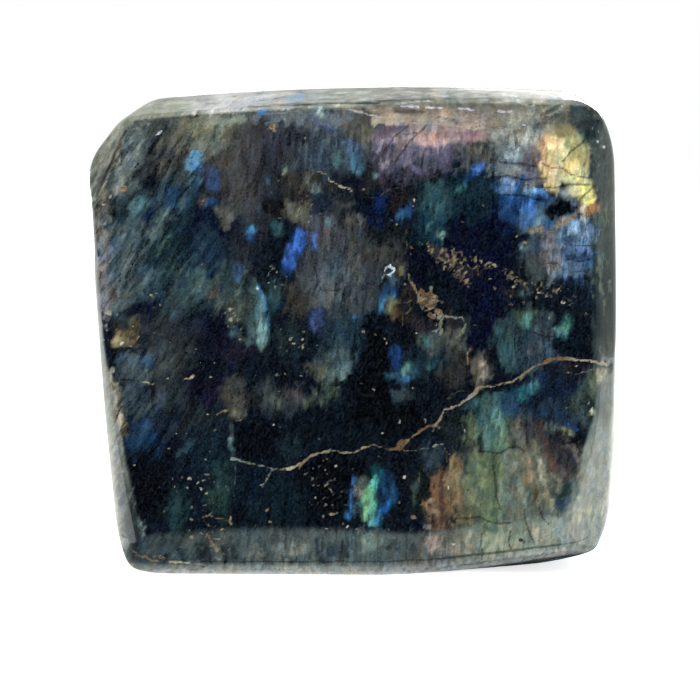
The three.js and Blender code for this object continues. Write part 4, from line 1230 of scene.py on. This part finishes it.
BIG_CELL = (2.8, 1.5)  # length and width
SMALL_CELL = (1.3, 0.6)


def grain_cells(x, z):
    """Three random numbers from -0.5 to 0.5 for each big and each small cell of the grain."""
    big = both_grains(x, z, lambda tilt: splinters(x, z, *BIG_CELL, tilt, seed=101)) - 0.5
    small = both_grains(x, z, lambda tilt: splinters(x, z, *SMALL_CELL, tilt, seed=103)) - 0.5
    return big, small


def lay_shades(paint, bent):
    for *spot, soft, hue in SHADES:
        paint = blend(paint, hue, smooth(0.5 - reach(*bent, spot) / (2 * soft)))
    return paint


def lay_rim_tints_and_reflections(paint, rims, shift):
    # the rim tints carry painted reflection of the room and the light table, and the stone's paler bevels
    for share, place, stops in rims:
        tints = np.array([linear(stop[1]) for stop in stops])
        places = [stop[0] for stop in stops]
        tint = np.stack([np.interp(place + shift, places, tints[:, k]) for k in range(3)], 1)
        paint = paint + (tint - paint) * (RIM_STRENGTH * share)[:, None]
    return paint


def lay_lamellae(paint, bent, rough):
    for number, (*spot, spacing, soft, light, dark) in enumerate(LAMELLAE):
        along, across = turned(*rough, spot[0], spot[1], spot[4])
        streak = ragged(along / 5, across, spacing, seed=51 + number)
        inside = smooth(0.5 - reach(*bent, spot) / (2 * soft))
        paint = blend(paint, light, inside * smooth(streak * 1.6 - 0.1) * 0.8)
        paint = blend(paint, dark, inside * smooth(-streak * 1.6 - 0.1) * 0.8)
    return paint


def lay_blocks(paint, rough, patchy):
    for *spot, soft, hue in BLOCKS:
        inside = smooth(0.5 - reach(*rough, spot, BLOCK) / (1.6 * soft + 0.3))
        paint = blend(paint, hue, patchy * inside)
    return paint


def lay_flashes(paint, rough, pick):
    """Bright patches that shimmer along their own tilt, each with a faint halo."""
    for *spot, soft, hue in FLASHES:
        along, across = turned(*rough, 0, 0, spot[4])
        shimmer = np.clip(0.72 + 0.4 * waves(along / 3, across, size=0.7, seed=91) + 0.5 * pick, 0, 1)
        far = reach(*rough, spot, PANE)
        paint = blend(paint, hue, 0.16 * smooth(0.5 - (far - 0.3) / 1.6))
        paint = blend(paint, hue, shimmer * smooth(0.5 - far / (1.4 * soft + 0.3)))
    return paint


def unevenness(x, z, big, small, calm):
    """Factors that make the light and the warmth of the colours uneven, cell by cell."""
    light = (0.34 * big[:, 2] + 0.4 * small[:, 2] + 0.12 * ragged(x, z, size=1.9, seed=95)
             + 0.2 * ragged(x, z, size=0.9, seed=97))
    warm = 0.08 * waves(x, z, size=2.3, seed=98) + 0.1 * (small[:, 0] + big[:, 0])
    drift = np.stack([light + warm, light, light - warm], 1)
    return np.exp(drift * (0.25 + 0.75 * calm[:, None]))


def paint_ground(x, z, rims):
    """The colours of the face without its veins and flecks."""
    along_top = smooth((z - TOP_STRIP) / 1.2)
    upper_right = smooth((z - 84) / 3) * smooth((x - 2) / 4)
    loose = 1 - 0.8 * np.maximum(along_top, upper_right)
    big, small = grain_cells(x, z)
    bent = (x + 0.8 * ragged(x, z, size=4, seed=11) + 1.8 * big[:, 0] + small[:, 0],
            z + loose * (0.8 * ragged(x, z, size=4, seed=21) + 2.2 * big[:, 1] + 1.4 * small[:, 1]))
    rough = (x + 0.3 * ragged(x, z, size=1.5, seed=31) + 0.3 * big[:, 0] + 0.5 * small[:, 0],
             z + loose * (0.3 * ragged(x, z, size=1.5, seed=41) + 0.4 * big[:, 1] + 0.7 * small[:, 1]))
    patchy = np.clip(0.8 + 0.5 * ragged(x, z, size=1.1, seed=93) + 0.5 * small[:, 2], 0, 0.95)
    paint = lay_shades(np.tile(linear(GROUND_HUE), (len(x), 1)), bent)
    paint = lay_rim_tints_and_reflections(paint, rims, 2.4 * big[:, 2] + 1.6 * small[:, 2])
    paint = lay_lamellae(paint, bent, rough)
    paint = smoky(lay_blocks(paint, rough, patchy), 0.78)
    paint = smoky(lay_flashes(paint, rough, small[:, 2]), 0.94)
    paint = paint * unevenness(x, z, big, small, calmness(rims))
    return blend(paint, HOLLOW_HUE, smooth(0.5 - reach(*rough, HOLLOW, PANE) / 0.6))


def lay_cracks(x, z):
    """Distance to the nearest hairline crack, in millimetres."""
    bent_x = x + 0.2 * ragged(x, z, size=2.2, seed=61)
    bent_z = z + 0.2 * ragged(x, z, size=2.2, seed=71)
    best = np.full(x.shape, GRAIN_FAR)
    for half_width, points in CRACKS:
        far, _ = line_reach(bent_x, bent_z, points)
        best = np.minimum(best, far - half_width)
    return best


def scatter(seed, count, cx, cz, half_length, half_width, tilt, size, hues):
    """Tiny flecks strewn around a place: rows like those of the flecks, with their colour."""
    dice = np.random.default_rng(seed)
    c, s = math.cos(math.radians(tilt)), math.sin(math.radians(tilt))
    crumbs = []
    for _ in range(count):
        along, across = dice.normal(0, 0.5, 2) * (half_length, half_width)
        spot = (cx + along * c - across * s, cz + along * s + across * c,
                size * dice.uniform(0.6, 1.7), size * dice.uniform(0.35, 0.8), dice.uniform(0, 180))
        crumbs.append((spot, hues[dice.integers(len(hues))]))
    return crumbs


def lay_grains(x, z):
    """The rim distance and the colour of the nearest vein, crust or fleck."""
    bent_x = x + 0.3 * ragged(x, z, size=1.0, seed=81)
    bent_z = z + 0.3 * ragged(x, z, size=1.0, seed=85)
    uneven = 0.62 + 0.5 * ragged(x, z, size=0.8, seed=87)
    threads = [[(*point, half, hue) for point in points] for half, hue, points in THREADS]
    best = np.full(x.shape, GRAIN_FAR)
    hues = np.tile(linear("807050"), (len(x), 1))
    for strand in [MAIN_VEIN] + VEIN_STRANDS + threads:
        far, place = line_reach(bent_x, bent_z, [point[:2] for point in strand])
        steps = np.arange(len(strand))
        rim = far - uneven * np.interp(place, steps, [point[2] for point in strand])
        tints = np.array([linear(point[3]) for point in strand])
        tint = np.stack([np.interp(place, steps, tints[:, k]) for k in range(3)], 1)
        nearer = rim < best
        best = np.where(nearer, rim, best)
        hues = np.where(nearer[:, None], tint, hues)
    crumbs = [(spot[:5], spot[5]) for spot in CRUSTS]
    crumbs += [((cx, cz, FLECK_SIZE * long, FLECK_SIZE * wide, tilt), hue)
               for hue, spots in FLECKS.items() for cx, cz, long, wide, tilt in spots]
    crumbs += [crumb for cluster in CLUSTERS for crumb in scatter(*cluster)]
    for spot, hue in crumbs:
        rim = reach(bent_x, bent_z, spot)
        nearer = rim < best
        best = np.where(nearer, rim, best)
        hues = np.where(nearer[:, None], linear(hue), hues)
    return best, hues


# ---- The net that the surface is made from: fine on the front, coarser behind ----
ACROSS, UP = 292, 268  # cells of the front, in fours
NET_DEPTH = 14.0  # the front's and back's nets lie this far before and behind the middle
SPINE = 0.85  # net lines start from a smaller plate inside the stone
FINE_ROWS = 8  # rows around the front's rim whose cells are only twice as large
COARSE = 4  # cells of the back are this many times as large


def rim_cells(step):
    """Column and row of the net's rim, anticlockwise from the lower left as seen from the front."""
    return ([(i, 0) for i in range(0, ACROSS, step)] + [(ACROSS, k) for k in range(0, UP, step)]
            + [(i, UP) for i in range(ACROSS, 0, -step)] + [(0, k) for k in range(UP, 0, -step)])


def net_points(cells, depth):
    cells = np.array(cells, float)
    x = (cells[:, 0] / ACROSS * 2 - 1) * HALF_WIDTH
    z = cells[:, 1] / UP * HIGH[2]
    return np.stack([x, np.full(len(x), depth), z], 1)


def weave_net():
    """Net points and faces: a fine front, rows around the sides, and a coarse back."""
    cells = [(i, k) for i in range(ACROSS + 1) for k in range(UP + 1)]
    number = {cell: index for index, cell in enumerate(cells)}
    points = [net_points(cells, -NET_DEPTH)]
    faces = [(number[i, k], number[i + 1, k], number[i + 1, k + 1], number[i, k + 1])
             for i in range(ACROSS) for k in range(UP)]
    count = len(cells)
    row = [number[cell] for cell in rim_cells(1)]
    cell = 2 * HALF_WIDTH / ACROSS
    depths = [(-NET_DEPTH + 2 * cell * (n + 1), 2) for n in range(FINE_ROWS)]
    rows = math.ceil((NET_DEPTH - depths[-1][0]) / (COARSE * cell))
    depths += [(depth, COARSE) for depth in np.linspace(depths[-1][0], NET_DEPTH, rows + 1)[1:]]
    for depth, step in depths:
        rim = rim_cells(step)
        points.append(net_points(rim, depth))
        back_row = list(range(count, count + len(rim)))
        ratio = len(row) // len(rim)
        for n in range(len(rim)):
            m = (n + 1) % len(rim)
            front_part = [row[(ratio * n + r) % len(row)] for r in range(ratio, -1, -1)]
            faces.append((back_row[n], back_row[m], *front_part))
        row, count = back_row, count + len(rim)
    back = dict(zip(rim_cells(COARSE), row))
    inner = [(i, k) for i in range(COARSE, ACROSS, COARSE) for k in range(COARSE, UP, COARSE)]
    points.append(net_points(inner, NET_DEPTH))
    back.update({spot: count + n for n, spot in enumerate(inner)})
    faces += [(back[i, k], back[i, k + COARSE], back[i + COARSE, k + COARSE], back[i + COARSE, k])
              for i in range(0, ACROSS, COARSE) for k in range(0, UP, COARSE)]
    return np.concatenate(points), faces


# ---- Real relief: the groove of the veins, and chips ----
GROOVE = 0.07  # depth of the open parts of the vein
CHIPS = [  # nicks in the edges: x, y, z, radius, depth
    (-43.4, -16.2, 5.4, 1.6, 0.45), (-40.4, -17, 4.1, 1.5, 0.4), (-37.4, -17.4, 3.7, 1.7, 0.4),
    (-34.3, -17.6, 3.8, 1.6, 0.45), (-31.6, -17.8, 3.3, 1.2, 0.3), (-45.6, -14.6, 7.8, 1.3, 0.3),
    (-39.4, -17.4, 92.2, 1.5, 0.4), (-42.8, -17, 90.2, 1.4, 0.35), (-37.2, -17.6, 92.2, 1.2, 0.3),
    (9.7, -4, 97, 1.0, 0.35), (-17.6, -12, 95, 1.1, 0.3), (13.4, -17.6, 93.2, 0.8, 0.25),
    (50.6, -15.2, 42.8, 1.1, 0.4), (49.6, -17, 43.6, 0.9, 0.25), (27, 19, 60, 1.4, 0.2),
    (-47.4, -17, 53.4, 1.1, 0.22), (-48, -17, 75, 1.2, 0.25), (48.7, -14.4, 86, 0.8, 0.2),
    (44.6, -12, 7.4, 1.2, 0.3), (20, 18.2, 4.2, 2, 0.5), (-24, 17.6, 5, 1.6, 0.4),
    (-50, 9, 30, 1.3, 0.3), (51.4, 6, 70, 1.2, 0.25), (-12, 14, 94, 1.4, 0.3),
]


def relief(points, grain_rim, front):
    """How far each point sinks into the stone, in millimetres."""
    sunk = GROOVE * front * smooth(0.4 - grain_rim / 0.4)
    wander = 0.4 * ragged(points[:, 0] + points[:, 1], points[:, 2] - points[:, 1], size=1.3, seed=5)
    for x, y, z, radius, depth in CHIPS:
        far = np.linalg.norm(points - np.array([x, y, z]), axis=1) / radius
        sunk = sunk + depth * smooth(1.15 - far + wander * (far < 1.6))
    return sunk


FRONT_ENDS = -7.5  # depth where the face's listed pattern ends on the sides; on the top it is 0
FRONT_FADES = 4.0  # width of its soft end


def front_share(points):
    """Where the face's listed pattern shows: 1 on the front and its bevels, 0 behind them."""
    top = smooth((points[:, 2] - TOP_STRIP) / 1.6)
    wander = 1.3 * ragged(points[:, 0] + points[:, 1], points[:, 2], size=5, seed=9)
    limit = (1 - top) * (FRONT_ENDS + wander)
    return smooth((limit - points[:, 1]) / (FRONT_FADES - top))


# ---- The map for baking. Each part's left, bottom, width and height; the front has most of it ----
FRONT_MAP = (0.01, 0.30, 0.74, 0.69)
BACK_MAP = (0.77, 0.30, 0.22, 0.214)
SIDE_MAP = (0.01, 0.005, 0.98, 0.28)
SIDE_MARGIN = 0.04


def map_corners(faces, net):
    """Map coordinates for each face corner, from the net."""
    counts = np.array([len(f) for f in faces])
    starts = np.concatenate([[0], np.cumsum(counts)[:-1]])
    index = np.concatenate([np.array(f) for f in faces])
    owner = np.repeat(np.arange(len(faces)), counts)
    across = net[index, 0] / (2 * HALF_WIDTH) + 0.5
    up = net[index, 2] / HIGH[2]
    deep = (net[index, 1] + NET_DEPTH) / (2 * NET_DEPTH)
    is_front = np.maximum.reduceat(deep, starts)[owner] < 0.0001
    is_back = np.minimum.reduceat(deep, starts)[owner] > 0.9999
    # the sides unroll into strips: bottom, right, top and left lie one above another
    middle_x = np.add.reduceat(net[index, 0], starts) / counts
    middle_z = np.add.reduceat(net[index, 2], starts) / counts
    gaps = np.stack([middle_z, HALF_WIDTH - middle_x, HIGH[2] - middle_z, HALF_WIDTH + middle_x], 1)
    side = gaps.argmin(1)[owner]
    strip_u = np.where(side % 2 == 0, across, up)
    strip_v = (side + SIDE_MARGIN + (1 - 2 * SIDE_MARGIN) * deep) / 4
    corners = np.zeros((len(index), 2))
    for chosen, u, v, (left, bottom, width, height) in (
            (is_front, across, up, FRONT_MAP), (is_back, across, up, BACK_MAP),
            (~is_front & ~is_back, strip_u, strip_v, SIDE_MAP)):
        placed = np.stack([left + width * u, bottom + height * v], 1)
        corners[chosen] = placed[chosen]
    return corners


def make_stone():
    net, faces = weave_net()
    spine = net * np.array([SPINE, 0, SPINE]) + np.array([0, 0, MIDDLE * (1 - SPINE)])
    points = onto_surface(spine, net)
    front = front_share(points)
    x, z = points[:, 0], points[:, 2]
    shown = front > 0
    paint = np.tile(linear(GROUND_HUE), (len(points), 1))
    hues = paint.copy()
    rim, crack = np.full(len(points), GRAIN_FAR), np.full(len(points), GRAIN_FAR)
    rims = rim_tints_and_reflections(points[shown])
    paint[shown] = paint_ground(x[shown], z[shown], rims)
    rim[shown], hues[shown] = lay_grains(x[shown], z[shown])
    calm = np.ones(len(points))
    calm[shown] = calmness(rims) * hush(x[shown], z[shown])
    crack[shown] = lay_cracks(x[shown], z[shown])
    rim = np.clip(rim, -GRAIN_FAR, GRAIN_FAR)
    points = points - outward(points) * relief(points, rim, front)[:, None]
    points[:, 2] = np.maximum(points[:, 2], 0)
    mesh = bpy.data.meshes.new("labradorite")
    mesh.from_pydata((points * MM).tolist(), [], faces)
    mesh.shade_smooth()
    for name, values in (("face_paint", paint), ("grain_hue", hues)):
        colours = np.column_stack([values, calm])
        mesh.attributes.new(name, "FLOAT_COLOR", "POINT").data.foreach_set("color", colours.ravel())
    for name, values in (("grain_rim", rim), ("crack_far", crack), ("front_share", front)):
        mesh.attributes.new(name, "FLOAT", "POINT").data.foreach_set("value", values)
    mesh.uv_layers.new(name="OFBake").data.foreach_set("uv", map_corners(faces, net).ravel())
    stone = bpy.data.objects.new("stone", mesh)
    bpy.context.scene.collection.objects.link(stone)
    return stone


# ---- The stone's finish ----
class Socket:
    """A shader value. Arithmetic on it adds Math nodes."""

    def __init__(self, shop, socket):
        self.shop, self.socket = shop, socket

    def sum(self, operation, *values):
        return self.shop.node("Math", {"operation": operation}, dict(enumerate(values)))

    def __add__(self, other):
        return self.sum("ADD", self, other)

    def __sub__(self, other):
        return self.sum("SUBTRACT", self, other)

    def __rsub__(self, other):
        return self.sum("SUBTRACT", other, self)

    def __mul__(self, other):
        return self.sum("MULTIPLY", self, other)

    def __abs__(self):
        return self.sum("ABSOLUTE", self)

    __radd__, __rmul__ = __add__, __mul__

    def ramp(self, start, end):
        """0 before start and 1 after end, with a smooth rise or fall between."""
        return self.shop.node("MapRange", {"interpolation_type": "SMOOTHSTEP"},
                              {"Value": self, "From Min": start, "From Max": end})


class Shop:
    """Adds nodes to one material."""

    def __init__(self, name):
        self.material = bpy.data.materials.new(name)
        self.material.use_nodes = True
        self.tree = self.material.node_tree
        self.tree.nodes.clear()

    def node(self, kind, settings, sockets, output=0):
        made = self.tree.nodes.new("ShaderNode" + kind)
        for name, value in settings.items():
            setattr(made, name, value)
        for name, value in sockets.items():
            if isinstance(value, Socket):
                self.tree.links.new(value.socket, made.inputs[name])
            else:
                made.inputs[name].default_value = value
        return Socket(self, made.outputs[output]) if made.outputs else made

    def mix(self, amount, under, over, blend_type="MIX"):
        """Colours: over laid on under. Index 0 is the factor, 6 and 7 the colours."""
        return self.node("Mix", {"data_type": "RGBA", "blend_type": blend_type},
                         {0: amount, 6: under, 7: over}, output=2)

    def noise(self, place, size, detail=2.0, roughness=0.5, output=0, distortion=0.0):
        return self.node("TexNoise", {}, {"Vector": place, "Scale": 1 / size, "Detail": detail,
                                          "Roughness": roughness, "Distortion": distortion}, output)

    def vector(self, operation, *values):
        return self.node("VectorMath", {"operation": operation}, dict(enumerate(values)))

    def turned(self, place, turn, stretch):
        """Coordinates turned by Euler degrees and then stretched."""
        angles = tuple(math.radians(angle) for angle in turn)
        turned = self.node("Mapping", {"vector_type": "POINT"}, {"Vector": place, "Rotation": angles})
        return self.node("Mapping", {"vector_type": "POINT"},
                         {"Vector": turned, "Scale": tuple(1 / value for value in stretch)})

    def cells(self, place, size, output=1):
        """Crisp cells, each of one random colour. Output 0 is the distance to the cell's middle."""
        return self.node("TexVoronoi", {"feature": "F1"}, {"Vector": place, "Scale": 1 / size}, output)

    def strokes(self, place, turn, stretch):
        return self.cells(self.turned(place, turn, stretch), 1)

    def channel(self, colour, number):
        return self.node("SeparateColor", {}, {0: colour}, number)

    def along(self, place, number):
        return self.node("SeparateXYZ", {}, {0: place}, number)

    def join(self, red, green, blue):
        return self.node("CombineXYZ", {}, {0: red, 1: green, 2: blue})

    def named(self, name, output):
        return self.node("Attribute", {"attribute_name": name}, {}, output)


def shade(hue):
    return (*linear(hue), 1.0)


def wild_pattern(shop, place):
    """The pattern of the sides, top and back: smoky blocks, lamellae, flashes, veins and flecks."""
    drift = shop.vector("MULTIPLY_ADD", shop.noise(place, 9, 2, output=1), (4, 4, 4), place)
    wide = shop.noise(place, 26, 3, 0.55)
    patch = shop.cells(shop.turned(drift, (0, 24, 18), (1, 1.3, 2.2)), 9)
    patch_grey = shop.channel(patch, 0)
    patch_pick = shop.channel(patch, 1)
    colour = shop.mix(wide.ramp(0.36, 0.64), shade("0b1119"), shade("2c3a3c"))
    colour = shop.mix(patch_grey.ramp(0.5, 1) * 0.7, colour, shade("4a4b45"))
    colour = shop.mix(patch_pick.ramp(0.6, 1) * 0.6, colour, shade("1a3840"))
    lamella = shop.noise(shop.turned(drift, (0, 28, 10), (7, 3, 0.55)), 3, 3, 0.6)
    colour = shop.mix(lamella.ramp(0.5, 0.72) * 0.55, colour, shade("6a7a72"))
    colour = shop.mix(lamella.ramp(0.5, 0.3) * 0.7, colour, shade("070a12"))
    where = shop.noise(place, 17, 1, 0.4, distortion=0.6)
    sheen = shop.noise(shop.turned(drift, (0, 28, 10), (4, 2, 0.7)), 4, 2, 0.6)
    for low, high, hue, strength in FLASH_BANDS:
        band = where.ramp(low, (low + high) / 2) * where.ramp(high, (low + high) / 2)
        colour = shop.mix(band * sheen.ramp(0.44, 0.7) * strength, colour, shade(hue))
    rust = shop.noise(place, 21, 4, 0.6, distortion=0.5)
    vein = 1 - abs(rust - 0.5).ramp(0.002, 0.006)
    broken = shop.noise(place, 8, 2).ramp(0.42, 0.56)
    colour = shop.mix(vein * broken * 0.8, colour, shade("8d7450"))
    grain = shop.cells(drift, 2.6, output=0)
    fleck = (1 - grain.ramp(0.07, 0.12)) * shop.noise(place, 12, 1).ramp(0.5, 0.6)
    return shop.mix(fleck, colour, shade("a8987a")), vein * broken


FLASH_BANDS = [  # where along the slow noise each flash colour shows, and how strongly
    (0.20, 0.34, "c9a552", 0.7),
    (0.33, 0.44, "3f8f86", 0.7),
    (0.55, 0.66, "2a63b4", 0.9),
    (0.64, 0.74, "4f9fd0", 0.8),
]


FELDSPAR_IOR = 1.56
POLISH = 0.09  # roughness of the polished face
SLANT = (0, 58, 0)  # turns that lay streaks along the grain: slanting on the left of the face,
UPRIGHT = (0, 86, 0)  # and nearly upright on the right


def grain_light(shop, place, right, speckle):
    """How light and how warm the grain is around its middle, over the whole face."""
    slanting = shop.noise(shop.turned(place, SLANT, (4, 3, 0.55)), 1.0, 3, 0.65) - 0.5
    standing = shop.noise(shop.turned(place, UPRIGHT, (3.4, 3, 0.5)), 1.0, 3, 0.65) - 0.5
    streak = slanting + (standing - slanting) * right
    bent = shop.vector("MULTIPLY_ADD", shop.noise(place, 1.3, 2, output=1), (0.5, 0.5, 0.5), place)
    strokes = shop.mix(right, shop.strokes(bent, SLANT, (3.2, 2, 0.7)),
                       shop.strokes(bent, UPRIGHT, (2.6, 2, 0.7)))
    lamellae = shop.channel(shop.strokes(bent, (0, 60, 0), (10, 3, 1.4)), 0) - 0.5
    below_top = shop.along(place, 2).ramp(91, 87)
    along = streak * 0.5 + (shop.channel(strokes, 0) - 0.5) * 0.66 + lamellae * (1 - right) * 0.56
    cloud = shop.noise(place, 2.6, 3, 0.6) - 0.5
    light = along * below_top + cloud * 0.3 + speckle * 1.24
    return light, (shop.channel(strokes, 1) - 0.5) * below_top * 0.16


def front_pattern(shop, place, speckle):
    """The face's listed colours with fine grain, glimmer and hairline cracks."""
    face_paint = shop.named("face_paint", 0)
    calm = 0.3 + shop.named("face_paint", 3) * 0.7
    right = shop.along(place, 0).ramp(-34, -20)
    light, warmth = grain_light(shop, place, right, speckle)
    light = 0.775 + light * calm
    paint = shop.vector("MULTIPLY", face_paint, shop.join(
        light * (1 + warmth), light, light * (1 - warmth)))
    dust = speckle * calm * 0.024
    paint = shop.vector("ADD", paint, shop.join(dust, dust, dust))
    paint = shop.vector("MAXIMUM", paint, (0.0004, 0.0004, 0.0004))
    glimmer = shop.noise(shop.turned(place, (0, 66, 0), (2, 2, 0.8)), 0.5, 3, 0.7).ramp(0.46, 0.76)
    paint = shop.mix(glimmer * calm * 0.07, paint, shade("5c7c8c"))
    crack = 1 - (shop.named("crack_far", 2) + speckle * 0.3).ramp(0.06, 0.3)
    dark = shop.vector("MULTIPLY", paint, (0.2, 0.18, 0.17))
    return shop.mix(crack * 0.7, paint, dark)


def stone_finish():
    shop = Shop("polished labradorite")
    metres = shop.node("TexCoord", {}, {}, output=3)
    place = shop.node("VectorMath", {"operation": "SCALE"}, {0: metres, "Scale": 1 / MM})
    speckle = shop.noise(place, 0.36, 2, 0.7) - 0.5
    front = shop.named("front_share", 2)
    behind, wild_vein = wild_pattern(shop, place)
    colour = shop.mix(front, behind, front_pattern(shop, place, speckle))
    edge = shop.named("grain_rim", 2) + speckle * 0.8
    grain = (1 - edge.ramp(-0.09, 0.09)) * front
    dusty = 0.55 + speckle * 2.4 + edge.ramp(-0.5, -0.05) * 0.2
    rust = shop.vector("MULTIPLY", shop.named("grain_hue", 0),
                       shop.join(dusty * 0.9, dusty, dusty * 1.2))
    colour = shop.mix(grain * 0.9, colour, rust)
    foot = shop.along(place, 2).ramp(0.5, 0.05)
    roughness = POLISH + grain * 0.24 + foot * 0.3 + wild_vein * (1 - front) * 0.2
    ripple = (shop.noise(place, 5, 2) * (3.4 - 2.6 * front)
              + shop.noise(place, 1.4, 2) * (0.3 - 0.2 * front))
    relief = shop.noise(place, 0.5, 2) * grain + ripple * (1 - grain)
    bump = shop.node("Bump", {}, {"Height": relief, "Strength": 0.1, "Distance": 0.0004})
    skin = shop.node("BsdfPrincipled", {}, {
        "Base Color": colour, "Roughness": roughness, "IOR": FELDSPAR_IOR, "Normal": bump})
    shop.node("OutputMaterial", {}, {"Surface": skin})
    return shop.material


# ---- Floor, cards and light, in metres ----
FLOOR_REACH = 6.0
WORLD_LIGHT = 1.0
FLAG_GLOW = 0.7
FLOOR_GLOW = 0.7  # the floor is a light table
CARDS = {  # azimuth, elevation, distance, width, height, radiance
    "left card": (-96, 8, 0.9, 0.5, 0.9, 0.5),
    "left rim card": (-138, 6, 0.9, 0.9, 0.7, 8.0),
    "right card": (84, 8, 0.9, 0.4, 0.9, 0.35),
    "right rim card": (152, 6, 0.9, 0.5, 0.7, 7.0),
    "back card": (180, 6, 1.1, 1.0, 0.4, 2.6),
    "back high card": (180, 27, 1.1, 1.4, 0.36, 0.6),
    "top band card": (166, 24, 1.1, 0.3, 0.1, 1.6),
}
FLAGS = {  # azimuth, distance, heights of the lower and upper edge, width
    "right flag": (128, 0.19, 0.03, 0.14, 0.34),
    "corner flag": (-122, 0.085, 0.082, 0.16, 0.1),
}


def glowing(name, own, light, strength):
    """A matt finish that glows, without any shine."""
    shop = Shop(name)
    skin = shop.node("BsdfPrincipled", {}, {
        "Base Color": shade(own), "Roughness": 1.0, "Specular IOR Level": 0.0,
        "Emission Color": shade(light), "Emission Strength": strength})
    shop.node("OutputMaterial", {}, {"Surface": skin})
    return shop.material


def add_sheet(name, corners, finish):
    """A flat four-cornered sheet of the studio."""
    mesh = bpy.data.meshes.new(name)
    mesh.from_pydata(corners, [], [(0, 1, 2, 3)])
    sheet = bpy.data.objects.new(name, mesh)
    sheet.data.materials.append(finish)
    bpy.context.scene.collection.objects.link(sheet)
    return sheet


def add_floor(name, left_x, right_x, front_y, back_y, finish, mirrored):
    """A stretch of floor. The stone's polish shows it only where it is mirrored."""
    floor = add_sheet(name, [(left_x, front_y, 0), (right_x, front_y, 0),
                             (right_x, back_y, 0), (left_x, back_y, 0)], finish)
    floor.visible_glossy = mirrored


def add_card(name, azimuth, elevation, far, width, height, radiance):
    """A soft light card that faces the stone. It shows in the polish only."""
    data = bpy.data.lights.new(name, "AREA")
    data.shape = "RECTANGLE"
    data.size, data.size_y = width, height
    data.energy = radiance * math.pi * width * height
    card = bpy.data.objects.new(name, data)
    card.location = facing(azimuth, elevation) * far + np.array([0, 0, MIDDLE * MM])
    card.rotation_euler = (math.radians(90 - elevation), 0, math.radians(azimuth))
    card.visible_camera = False
    card.visible_diffuse = False
    bpy.context.scene.collection.objects.link(card)


def add_flag(name, azimuth, far, low, high, width, finish):
    """A grey flag that shows in the polish only, in place of the brighter room behind it."""
    across = facing(azimuth + 90, 0) * width / 2
    corners = [tuple(facing(azimuth, 0) * far + across * side + np.array([0, 0, height]))
               for side, height in ((-1, low), (1, low), (1, high), (-1, high))]
    flag = add_sheet(name, corners, finish)
    flag.visible_camera = False
    flag.visible_diffuse = False
    flag.visible_shadow = False


def light_studio():
    world = bpy.data.worlds.new("studio")
    bpy.context.scene.world = world
    world.use_nodes = True
    background = world.node_tree.nodes["Background"]
    background.inputs["Color"].default_value = (1, 1, 1, 1)
    background.inputs["Strength"].default_value = WORLD_LIGHT
    world.cycles_visibility.glossy = False
    bpy.context.scene.view_settings.view_transform = "Standard"
    finish = glowing("pale floor", "fdfdfd", "ffffff", FLOOR_GLOW)
    under = HALF_DEPTH * MM
    beside = 1.1 * HALF_WIDTH * MM
    add_floor("floor_ahead", -FLOOR_REACH, FLOOR_REACH, -FLOOR_REACH, -under, finish, False)
    add_floor("floor_under", -beside, beside, -under, under, finish, False)
    add_floor("floor_left", -FLOOR_REACH, -beside, -under, under, finish, True)
    add_floor("floor_right", beside, FLOOR_REACH, -under, under, finish, True)
    add_floor("floor_behind", -FLOOR_REACH, FLOOR_REACH, under, FLOOR_REACH, finish, True)
    cloth = glowing("grey flag cloth", "000000", "e6ece0", FLAG_GLOW)
    for name, flag in FLAGS.items():
        add_flag(name, *flag, cloth)
    for name, card in CARDS.items():
        add_card(name, *card)


# ---- Assembly ----
add_camera()
stone = make_stone()
stone.data.materials.append(stone_finish())
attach(stone, "root")
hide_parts(STONE_NODE)
light_studio()
